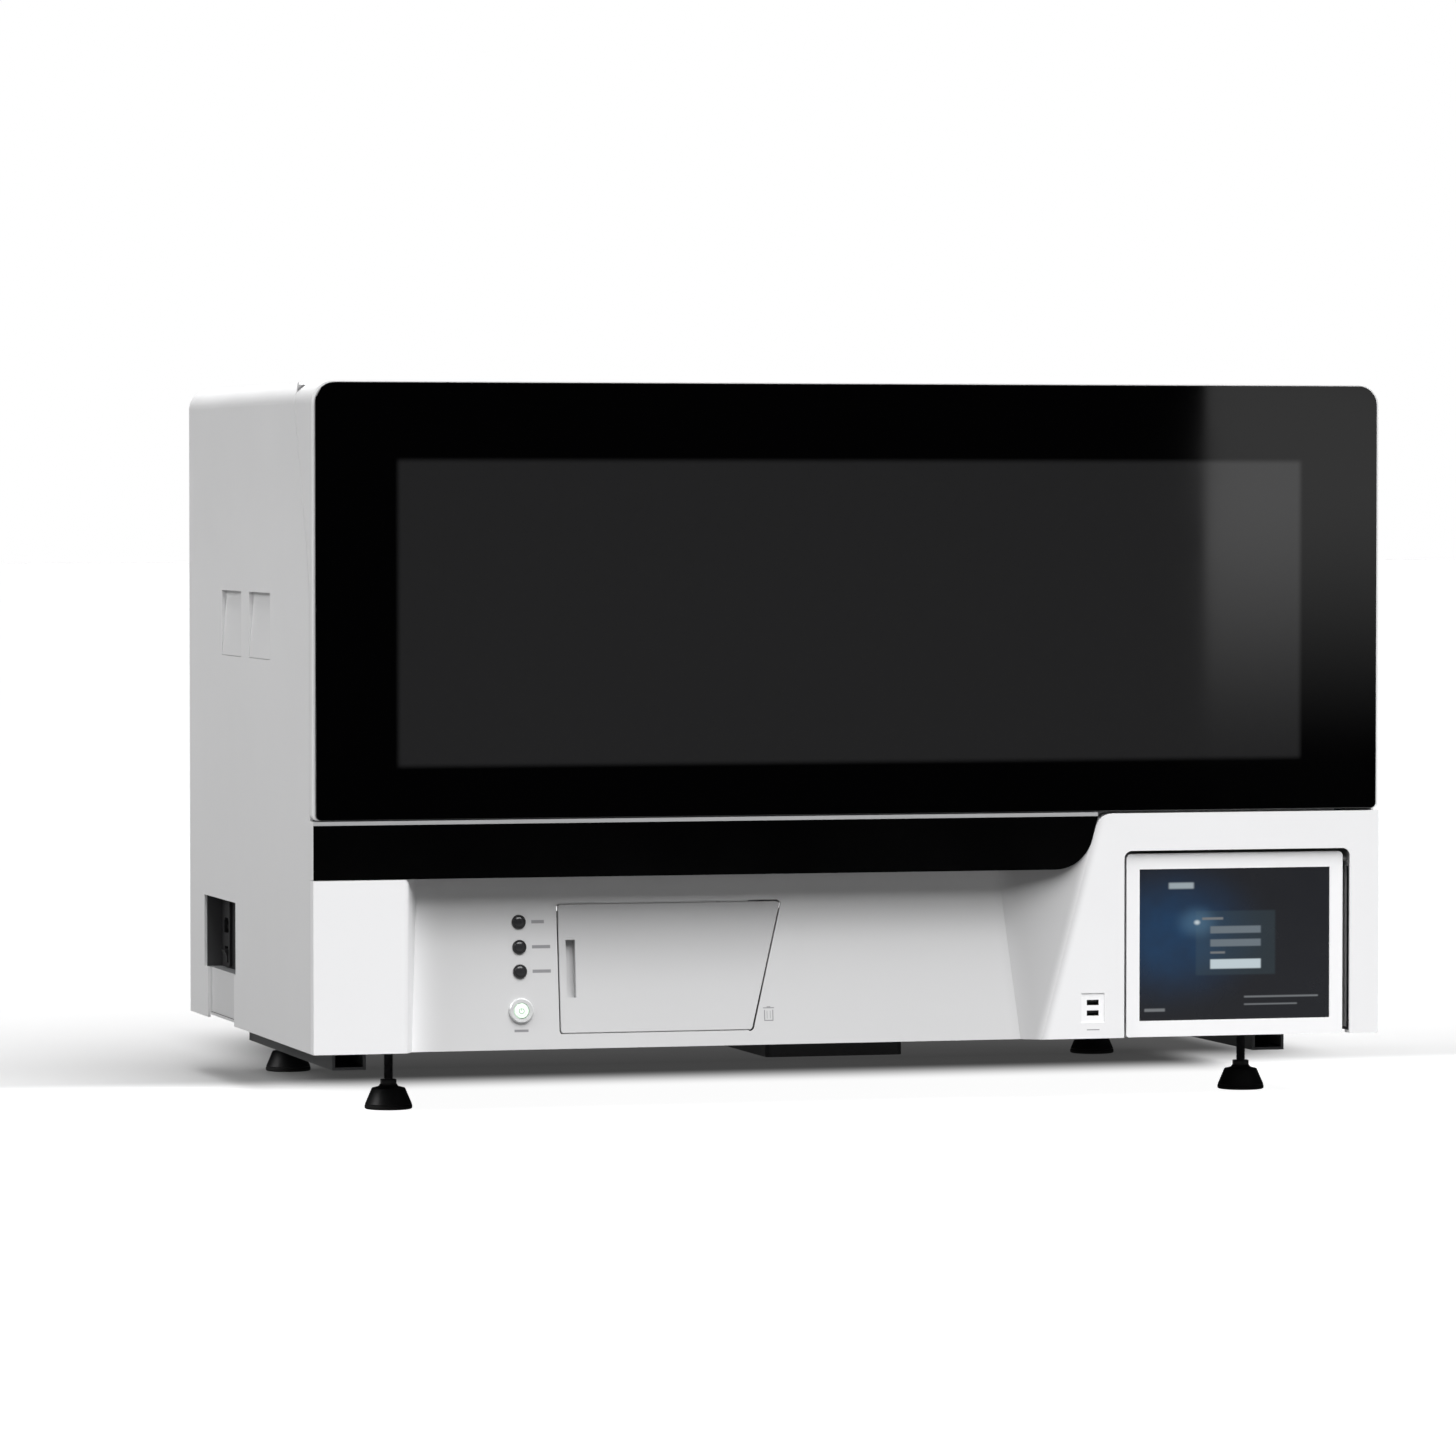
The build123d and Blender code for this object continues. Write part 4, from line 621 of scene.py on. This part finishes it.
paintFaces("connector_bay", finishes["blackMoulding"], lambda c, n: c.x > -0.5615 and c.z > 0.122)
paintFaces("connector_bay", finishes["greyMoulding"], lambda c, n: n.z > 0.9 and 0.12 < c.z < 0.13)
# painted shade: the greyer powder in the channel and on the base plate's left face
paintFaces("connector_bay", finishes["powderPaintedShade"], lambda c, n: c.z < 0.1225 and c.x < -0.5745)
paintFaces("base_plate", finishes["powderPaintedShade"], lambda c, n: n.x < -0.9 and c.x < -0.57)
paintFaces("usb_ports", finishes["blackMoulding"], lambda c, n: c.y > -0.3315)
paintFaces("front_band", finishes["whitePowder"], lambda c, n: n.x < -0.9 and c.x < -0.5795)
paintFaces("trim_strip", finishes["whitePowder"], lambda c, n: n.x < -0.9 and c.x < -0.5795)
print("nodes painted")


# Faces that meet at less than this are shaded as one smooth surface
creaseAngle = math.radians(32)


# Small turned parts: a disc grown upwards, ring by ring, out of millimetre steps
def turnedPiece(name, steps, sides=48):
    deselectAll()
    radius, rise = steps[0]
    bpy.ops.mesh.primitive_circle_add(vertices=sides, radius=radius / 1000, fill_type="NGON",
                                      location=(0, 0, rise / 1000))
    piece = bpy.context.object
    piece.name = name
    bpy.ops.object.transform_apply(location=True, rotation=True, scale=True)
    bpy.ops.object.mode_set(mode="EDIT")
    bpy.ops.mesh.select_mode(type="FACE")
    bpy.ops.mesh.select_all(action="SELECT")
    for nextRadius, nextRise in steps[1:]:
        bpy.ops.mesh.extrude_region_move(
            TRANSFORM_OT_translate={"value": (0, 0, (nextRise - rise) / 1000)})
        grow = nextRadius / radius
        bpy.ops.transform.resize(value=(grow, grow, 1), center_override=(0, 0, nextRise / 1000))
        radius, rise = nextRadius, nextRise
    bpy.ops.mesh.select_all(action="SELECT")
    bpy.ops.mesh.normals_make_consistent(inside=False)
    bpy.ops.object.mode_set(mode="OBJECT")
    bpy.ops.object.shade_smooth_by_angle(angle=creaseAngle)
    return piece


def joinInto(main, others):
    deselectAll()
    for item in others:
        item.select_set(True)
    main.select_set(True)
    bpy.context.view_layer.objects.active = main
    bpy.ops.object.join()
    return main


def settle(piece, place, tilt=0.0):
    # leans the mesh about X, then moves it, with the object left at the origin
    deselectAll()
    piece.select_set(True)
    bpy.context.view_layer.objects.active = piece
    piece.rotation_euler = (tilt, 0, 0)
    piece.location = place
    bpy.ops.object.transform_apply(location=True, rotation=True, scale=True)


def copyPiece(piece, name):
    twin = piece.copy()
    twin.data = piece.data.copy()
    twin.name = name
    bpy.context.scene.collection.objects.link(twin)
    return twin


def cutWith(piece, cutter):
    deselectAll()
    piece.select_set(True)
    bpy.context.view_layer.objects.active = piece
    cut = piece.modifiers.new("cut", "BOOLEAN")
    cut.operation = "DIFFERENCE"
    cut.object = cutter
    cut.solver = "EXACT"
    bpy.ops.object.modifier_apply(modifier="cut")
    bpy.data.objects.remove(cutter)


# Levelling feet: rubber sole, cone with a flat shoulder, hexagonal collar and a threaded stem
foot = {
    "places": {
        "foot_front_left": (-0.472, -0.2012), "foot_front_right": (0.472, -0.2012),
        "foot_rear_left": (-0.472, 0.3057), "foot_rear_right": (0.472, 0.3057),
    },
    # radius and height of each ring, millimetres
    "sole": [(23.6, 0.0), (24.6, 0.5), (25.0, 1.2), (25.0, 3.6), (24.6, 4.3), (23.9, 4.4)],
    "cone": [(23.6, 4.2), (24.4, 4.8), (24.5, 5.4), (20.9, 13.8), (17.9, 21.0), (17.1, 22.0),
             (15.4, 22.4), (10.8, 23.6), (9.6, 24.8), (9.2, 25.8), (6.0, 25.8)],
    "collarAcross": 9.0,
    "collarLow": 25.4,
    "collarHigh": 31.0,
    "collarEdge": 0.6,
    "stem": [(4.2, 30.0), (4.2, 92.6), (3.4, 94.0)],
    "crest": 5.0,
    "pitch": 1.5,
    "threadLow": 31.2,
    "turns": 40,
    "turnSteps": 24,
}


def addCollar():
    deselectAll()
    tall = foot["collarHigh"] - foot["collarLow"]
    middle = (foot["collarHigh"] + foot["collarLow"]) / 2
    bpy.ops.mesh.primitive_cylinder_add(vertices=6, radius=foot["collarAcross"] / 1000, depth=tall / 1000,
                                        location=(0, 0, middle / 1000))
    collar = bpy.context.object
    bpy.ops.object.transform_apply(location=True, rotation=True, scale=True)
    edge = collar.modifiers.new("edge", "BEVEL")
    edge.width = foot["collarEdge"] / 1000
    edge.segments = 2
    bpy.ops.object.modifier_apply(modifier="edge")
    bpy.ops.object.shade_smooth_by_angle(angle=creaseAngle)
    return collar


def addThread():
    # a square on edge loses its inner corner, and the V that is left winds up the stem
    deselectAll()
    half = foot["pitch"] / 2000
    root = foot["crest"] / 1000 - half
    low = foot["threadLow"] / 1000 + half
    bpy.ops.mesh.primitive_plane_add(size=half * math.sqrt(2), location=(root, 0, low),
                                     rotation=(math.radians(90), math.radians(45), 0))
    thread = bpy.context.object
    bpy.ops.object.transform_apply(location=True, rotation=True, scale=True)
    inner = min(v.co.x for v in thread.data.vertices)
    bpy.ops.object.mode_set(mode="EDIT")
    bpy.ops.mesh.select_mode(type="VERT")
    bpy.ops.mesh.select_all(action="DESELECT")
    bpy.ops.object.mode_set(mode="OBJECT")
    for vertex in thread.data.vertices:
        vertex.select = vertex.co.x < inner + 0.00001
    bpy.ops.object.mode_set(mode="EDIT")
    bpy.ops.mesh.delete(type="VERT")
    bpy.ops.object.mode_set(mode="OBJECT")
    wind = thread.modifiers.new("wind", "SCREW")
    wind.screw_offset = foot["pitch"] / 1000
    wind.iterations = foot["turns"]
    wind.steps = foot["turnSteps"]
    wind.render_steps = foot["turnSteps"]
    wind.use_merge_vertices = True
    wind.merge_threshold = 0.00001
    bpy.ops.object.modifier_apply(modifier="wind")
    bpy.ops.object.mode_set(mode="EDIT")
    bpy.ops.mesh.select_all(action="SELECT")
    bpy.ops.mesh.normals_make_consistent(inside=False)
    bpy.ops.object.mode_set(mode="OBJECT")
    bpy.ops.object.shade_smooth_by_angle(angle=creaseAngle)
    return thread


def addFeet():
    sole = turnedPiece("sole", foot["sole"], 64)
    sole.data.materials.append(finishes["blackRubber"])
    cone = turnedPiece("cone", foot["cone"], 64)
    collar = addCollar()
    stem = turnedPiece("stem", foot["stem"], foot["turnSteps"])
    thread = addThread()
    for item in (cone, collar):
        item.data.materials.append(finishes["blackMoulding"])
    for item in (stem, thread):
        item.data.materials.append(finishes["blackPaint"])
    pattern = joinInto(cone, [sole, collar, stem, thread])
    for nodeName, (x, y) in foot["places"].items():
        side = nodeName.split("_")
        piece = copyPiece(pattern, "leveller" + side[1].capitalize() + side[2].capitalize())
        settle(piece, (x, y, 0))
        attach(piece, bodyOf[nodeName])
        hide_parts(nodeName)
    bpy.data.objects.remove(pattern)


bodyOf = {name: body for body, names in frame["record"]["behaviour"]["bodies"].items() for name in names}
addFeet()
print("feet turned")

# Status lamps and the lit button, square to the scoop's leaning back
control = {
    "lean": 6.4,                       # degrees
    "backFoot": (-0.319, 0.068),       # Y and Z of the scoop's back at its foot
    "lampPlaces": [(-0.357, 0.1995), (-0.357, 0.1737), (-0.357, 0.1485)],
    "buttonPlace": (-0.357, 0.108),
    "bezel": [(7.0, -0.5), (7.4, 0.0), (7.4, 1.3), (7.0, 1.7), (6.1, 1.7), (5.9, 1.2), (5.6, 1.2)],
    "lens": [(5.6, 0.8), (5.55, 1.5), (5.2, 1.9), (4.4, 2.25), (3.0, 2.55), (1.4, 2.7)],
    "lensColour": (0.026, 0.026, 0.028),
    "cap": [(7.6, -6.0), (7.6, 2.6), (7.3, 3.1), (6.7, 3.3), (6.45, 3.1), (6.3, 2.9), (6.0, 2.9),
            (5.85, 3.1), (5.5, 3.25), (3.6, 3.15), (1.6, 3.08)],
    "capColour": (0.70, 0.80, 0.71),
    "capGlow": (0.62, 0.86, 0.64),
    "capLight": 0.40,
    # the stand-by sign, millimetres: the ring's two radii, then the gap's and the bar's edges
    "signRing": (2.35, 2.95),
    "signGap": (-0.95, 0.95, 0.6, 4.0),
    "signBar": (-0.3, 0.3, 0.4, 3.1),
    "signBlur": 0.08,
    "gapBlur": 0.1,
    "signInk": (0.12, 0.20, 0.13),
    "signGlow": (0.05, 0.12, 0.06),
}


def onScoop(x, z):
    lean = math.radians(control["lean"])
    y, low = control["backFoot"]
    return (x, y + (z - low) * math.tan(lean), z)


def capMoulding():
    # translucent white with a stand-by sign: an open ring and a bar
    material = coatedSurface("capMoulding", control["capColour"], (0.2, 0.3), 300.0, 0.00001)
    tree = material.node_tree
    shader = tree.nodes["Principled BSDF"]
    x, z = control["buttonPlace"]
    mapping = tree.nodes.new("ShaderNodeMapping")
    mapping.inputs["Location"].default_value = (-x * 1000, 0, -z * 1000)
    mapping.inputs["Scale"].default_value = (1000, 0, 1000)
    tree.links.new(tree.nodes["Texture Coordinate"].outputs["Object"], mapping.inputs["Vector"])
    axes = tree.nodes.new("ShaderNodeSeparateXYZ")
    tree.links.new(mapping.outputs["Vector"], axes.inputs[0])
    length = tree.nodes.new("ShaderNodeVectorMath")
    length.operation = "LENGTH"
    tree.links.new(mapping.outputs["Vector"], length.inputs[0])
    ring = addInside(tree, length.outputs["Value"], *control["signRing"], control["signBlur"])
    gap = addPatch(tree, axes, control["signGap"], control["gapBlur"])
    ring = addMath(tree, "SUBTRACT", ring, gap, clamp=True)
    bar = addPatch(tree, axes, control["signBar"], control["signBlur"])
    sign = addMath(tree, "MAXIMUM", ring, bar)
    plain = shader.inputs["Base Color"].links[0].from_socket
    tree.links.new(mixColour(tree, sign, plain, control["signInk"]), shader.inputs["Base Color"])
    glow = mixColour(tree, sign, control["capGlow"], control["signGlow"])
    tree.links.new(glow, shader.inputs["Emission Color"])
    shader.inputs["Emission Strength"].default_value = control["capLight"]
    return material


def addLamps():
    smoked = coatedSurface("smokedLens", control["lensColour"], (0.12, 0.2), 200.0, 0.00001)
    lean = math.radians(90 - control["lean"])
    bezel = turnedPiece("bezel", control["bezel"], 40)
    bezel.data.materials.append(finishes["blackMoulding"])
    lens = turnedPiece("lens", control["lens"], 40)
    lens.data.materials.append(smoked)
    pattern = joinInto(bezel, [lens])
    lamps = []
    for x, z in control["lampPlaces"]:
        lamp = copyPiece(pattern, "lamp")
        settle(lamp, onScoop(x, z), lean)
        lamps.append(lamp)
    bpy.data.objects.remove(pattern)
    lampRow = joinInto(lamps[0], lamps[1:])
    lampRow.name = "statusLamps"
    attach(lampRow, bodyOf["indicator_lamps"])
    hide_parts("indicator_lamps")


def addButton():
    cap = turnedPiece("buttonCap", control["cap"], 64)
    cap.data.materials.append(capMoulding())
    settle(cap, onScoop(*control["buttonPlace"]), math.radians(90 - control["lean"]))
    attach(cap, bodyOf["power_button"])
    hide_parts("power_button")


addLamps()
addButton()
print("lamps and button set")

# Pale seal in the seam round the waste hatch, open at the hinge side
seal = {
    # the hatch on the scoop's plane, millimetres
    "left": -315.0,
    "rightFoot": -109.5,
    "rightTop": -75.0,
    "low": 84.0,
    "high": 217.0,
    "corner": 3.6,
    "cornerSteps": 5,
    "reach": 1.6,                       # past the hatch's edge, into the fascia
    "strip": 1.1,
    "openFrom": 3.0,                    # how far before the lower right corner it ends
    "front": -0.7,
    "back": -2.2,
}


def addSeal():
    deselectAll()
    lean = math.radians(control["lean"])
    reach = seal["reach"]
    tall = (seal["high"] - seal["low"] + 2 * reach) / math.cos(lean)
    wide = seal["rightTop"] - seal["left"] + 2 * reach
    middle = (seal["rightTop"] + seal["left"]) / 2
    bpy.ops.mesh.primitive_plane_add(size=1, location=(middle / 1000, tall / 2000, seal["back"] / 1000))
    piece = bpy.context.object
    piece.name = "hatchSeal"
    piece.scale = (wide / 1000, tall / 1000, 1)
    bpy.ops.object.transform_apply(location=True, rotation=True, scale=True)
    for vertex in piece.data.vertices:
        vertex.select = vertex.co.x > middle / 1000 and vertex.co.y < 0.001
    bpy.ops.object.mode_set(mode="EDIT")
    slant = seal["rightTop"] - seal["rightFoot"]
    # known fault: the plane's face is still selected, so all of it moves and not the corner alone
    bpy.ops.transform.translate(value=(-slant / 1000, 0, 0))
    bpy.ops.mesh.select_mode(type="VERT")
    bpy.ops.mesh.select_all(action="SELECT")
    bpy.ops.mesh.bevel(offset=seal["corner"] / 1000, segments=seal["cornerSteps"], affect="VERTICES")
    bpy.ops.mesh.select_mode(type="FACE")
    bpy.ops.mesh.select_all(action="SELECT")
    bpy.ops.mesh.inset(thickness=seal["strip"] / 1000, use_even_offset=True)
    bpy.ops.mesh.delete(type="FACE")
    bpy.ops.mesh.select_all(action="SELECT")
    bpy.ops.mesh.extrude_region_move(
        TRANSFORM_OT_translate={"value": (0, 0, (seal["front"] - seal["back"]) / 1000)})
    bpy.ops.mesh.select_all(action="SELECT")
    bpy.ops.mesh.normals_make_consistent(inside=False)
    # the hinge side stays open, because the hatch's edge swings through there
    length = math.hypot(tall, slant)
    bpy.ops.mesh.select_all(action="SELECT")
    bpy.ops.mesh.bisect(plane_co=((seal["rightFoot"] - seal["openFrom"]) / 1000, 0, 0),
                        plane_no=(tall / length, -slant / length, 0), use_fill=True, clear_outer=True)
    bpy.ops.object.mode_set(mode="OBJECT")
    piece.data.materials.append(finishes["sealRubber"])
    settle(piece, onScoop(0, (seal["low"] - reach) / 1000), math.radians(90) - lean)
    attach(piece, bodyOf["lower_fascia"])


addSeal()
print("hatch seal laid")

# Cross-head screws of the rear panel
screw = {
    "head": [(2.2, -1.6), (3.5, -1.6), (3.5, -0.7), (3.2, -0.25), (2.5, -0.05), (1.2, 0.0)],
    "slotLong": 0.0036,
    "slotWide": 0.0008,
    "slotDeep": 0.0009,
    "slotTurn": 20,                     # degrees
    "sides": 32,
    "rearX": 0.5395,
    "rearZ": [0.110, 0.330, 0.520, 0.700],
    "rearY": 0.333,
}


def addScrews():
    pattern = turnedPiece("screwHead", screw["head"], screw["sides"])
    pattern.data.materials.append(finishes["drawnSteel"])
    for turn in (0, 90):
        deselectAll()
        turned = (0, 0, math.radians(turn + screw["slotTurn"]))
        bpy.ops.mesh.primitive_cube_add(size=1, location=(0, 0, 0), rotation=turned)
        slot = bpy.context.object
        slot.scale = (screw["slotLong"], screw["slotWide"], 2 * screw["slotDeep"])
        bpy.ops.object.transform_apply(location=True, rotation=True, scale=True)
        cutWith(pattern, slot)
    heads = []
    for side in (-1, 1):
        for z in screw["rearZ"]:
            head = copyPiece(pattern, "screw")
            settle(head, (side * screw["rearX"], screw["rearY"], z), math.radians(-90))
            heads.append(head)
    bpy.data.objects.remove(pattern)
    rearScrews = joinInto(heads[0], heads[1:])
    rearScrews.name = "rearScrews"
    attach(rearScrews, bodyOf["cover_screws"])
    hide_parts("cover_screws")


addScrews()
print("screws driven")


# Pale floor: painted light brightens it in front, and a painted shadow darkens it under and behind the
# casing
def addFloor():
    deselectAll()
    deep = studio["floorBack"] - studio["floorFront"]
    middle = (studio["floorBack"] + studio["floorFront"]) / 2
    bpy.ops.mesh.primitive_plane_add(size=1, location=(0, middle, 0))
    floor = bpy.context.object
    floor.name = "floor"
    floor.scale = (2 * studio["floorSide"], deep, 1)
    bpy.ops.object.transform_apply(location=True, rotation=False, scale=True)
    material, tree, shader, place = startMaterial("paleFloor")
    colour = studio["floorColour"]
    paler = tuple(c * 0.985 for c in colour)
    seen = addRamp(tree, addNoise(tree, place, 3.0), (paler, colour))
    axes = tree.nodes.new("ShaderNodeSeparateXYZ")
    tree.links.new(place, axes.inputs[0])
    # painted shadow under and behind the casing
    across = addInside(tree, axes.outputs["X"], *studio["shadeAcross"], studio["shadeSoft"])
    inFront = addFade(tree, axes.outputs["Y"], *studio["shadeFront"])
    behind = addFade(tree, axes.outputs["Y"], *studio["shadeBack"])
    shade = addMath(tree, "MULTIPLY", across, addMath(tree, "MULTIPLY", inFront, behind))
    seen = mixColour(tree, shade, seen, studio["shadeColour"])
    path = tree.nodes.new("ShaderNodeLightPath")
    shown = mixColour(tree, path.outputs["Is Camera Ray"], studio["floorBounce"], seen)
    tree.links.new(shown, shader.inputs["Base Color"])
    shader.inputs["Roughness"].default_value = studio["floorSheen"]
    shader.inputs["Emission Color"].default_value = (1, 1, 1, 1)
    # painted light in front, for camera rays only
    forwards = addFade(tree, axes.outputs["Y"], *studio["frontFade"])
    lift = addMath(tree, "MULTIPLY", forwards, studio["paintedFrontLight"])
    lift = addMath(tree, "MULTIPLY", lift, path.outputs["Is Camera Ray"])
    tree.links.new(addMath(tree, "ADD", lift, studio["floorLift"]), shader.inputs["Emission Strength"])
    floor.data.materials.append(material)


addFloor()

# A lit panel off to the right, seen only as the reflection in the door's glass
softbox = {
    "place": (1.2218, -2.5, 0.508),
    "width": 0.4122,
    "height": 0.603,
    "slant": 0.1315,                    # meant as the left edge's lean
    "strength": 0.84,
    "fadeLow": 0.26,                    # Z between which it lights up
    "fadeHigh": 0.66,
}


def addSoftbox():
    deselectAll()
    x, y, z = softbox["place"]
    bpy.ops.mesh.primitive_plane_add(size=1, location=(x, y, z), rotation=(math.radians(-90), 0, 0))
    panel = bpy.context.object
    panel.name = "softbox"
    panel.scale = (softbox["width"], softbox["height"], 1)
    bpy.ops.object.transform_apply(location=True, rotation=True, scale=True)
    for vertex in panel.data.vertices:
        vertex.select = vertex.co.x < x and vertex.co.z > z
    bpy.ops.object.mode_set(mode="EDIT")
    # known fault: the panel's face is still selected, so all of it moves and the edge stays upright
    bpy.ops.transform.translate(value=(softbox["slant"], 0, 0))
    bpy.ops.object.mode_set(mode="OBJECT")
    material, tree, shader, place = startMaterial("softboxGlow")
    axes = tree.nodes.new("ShaderNodeSeparateXYZ")
    tree.links.new(place, axes.inputs[0])
    fade = tree.nodes.new("ShaderNodeMapRange")
    fade.interpolation_type = "SMOOTHSTEP"
    fade.inputs["From Min"].default_value = softbox["fadeLow"]
    fade.inputs["From Max"].default_value = softbox["fadeHigh"]
    fade.inputs["To Max"].default_value = softbox["strength"]
    tree.links.new(axes.outputs["Z"], fade.inputs["Value"])
    shader.inputs["Base Color"].default_value = (0, 0, 0, 1)
    shader.inputs["Emission Color"].default_value = (1, 1, 1, 1)
    tree.links.new(fade.outputs[0], shader.inputs["Emission Strength"])
    panel.data.materials.append(material)
    panel.visible_camera = False
    panel.visible_diffuse = False
    panel.visible_shadow = False


addSoftbox()
print("floor laid, softbox hung")
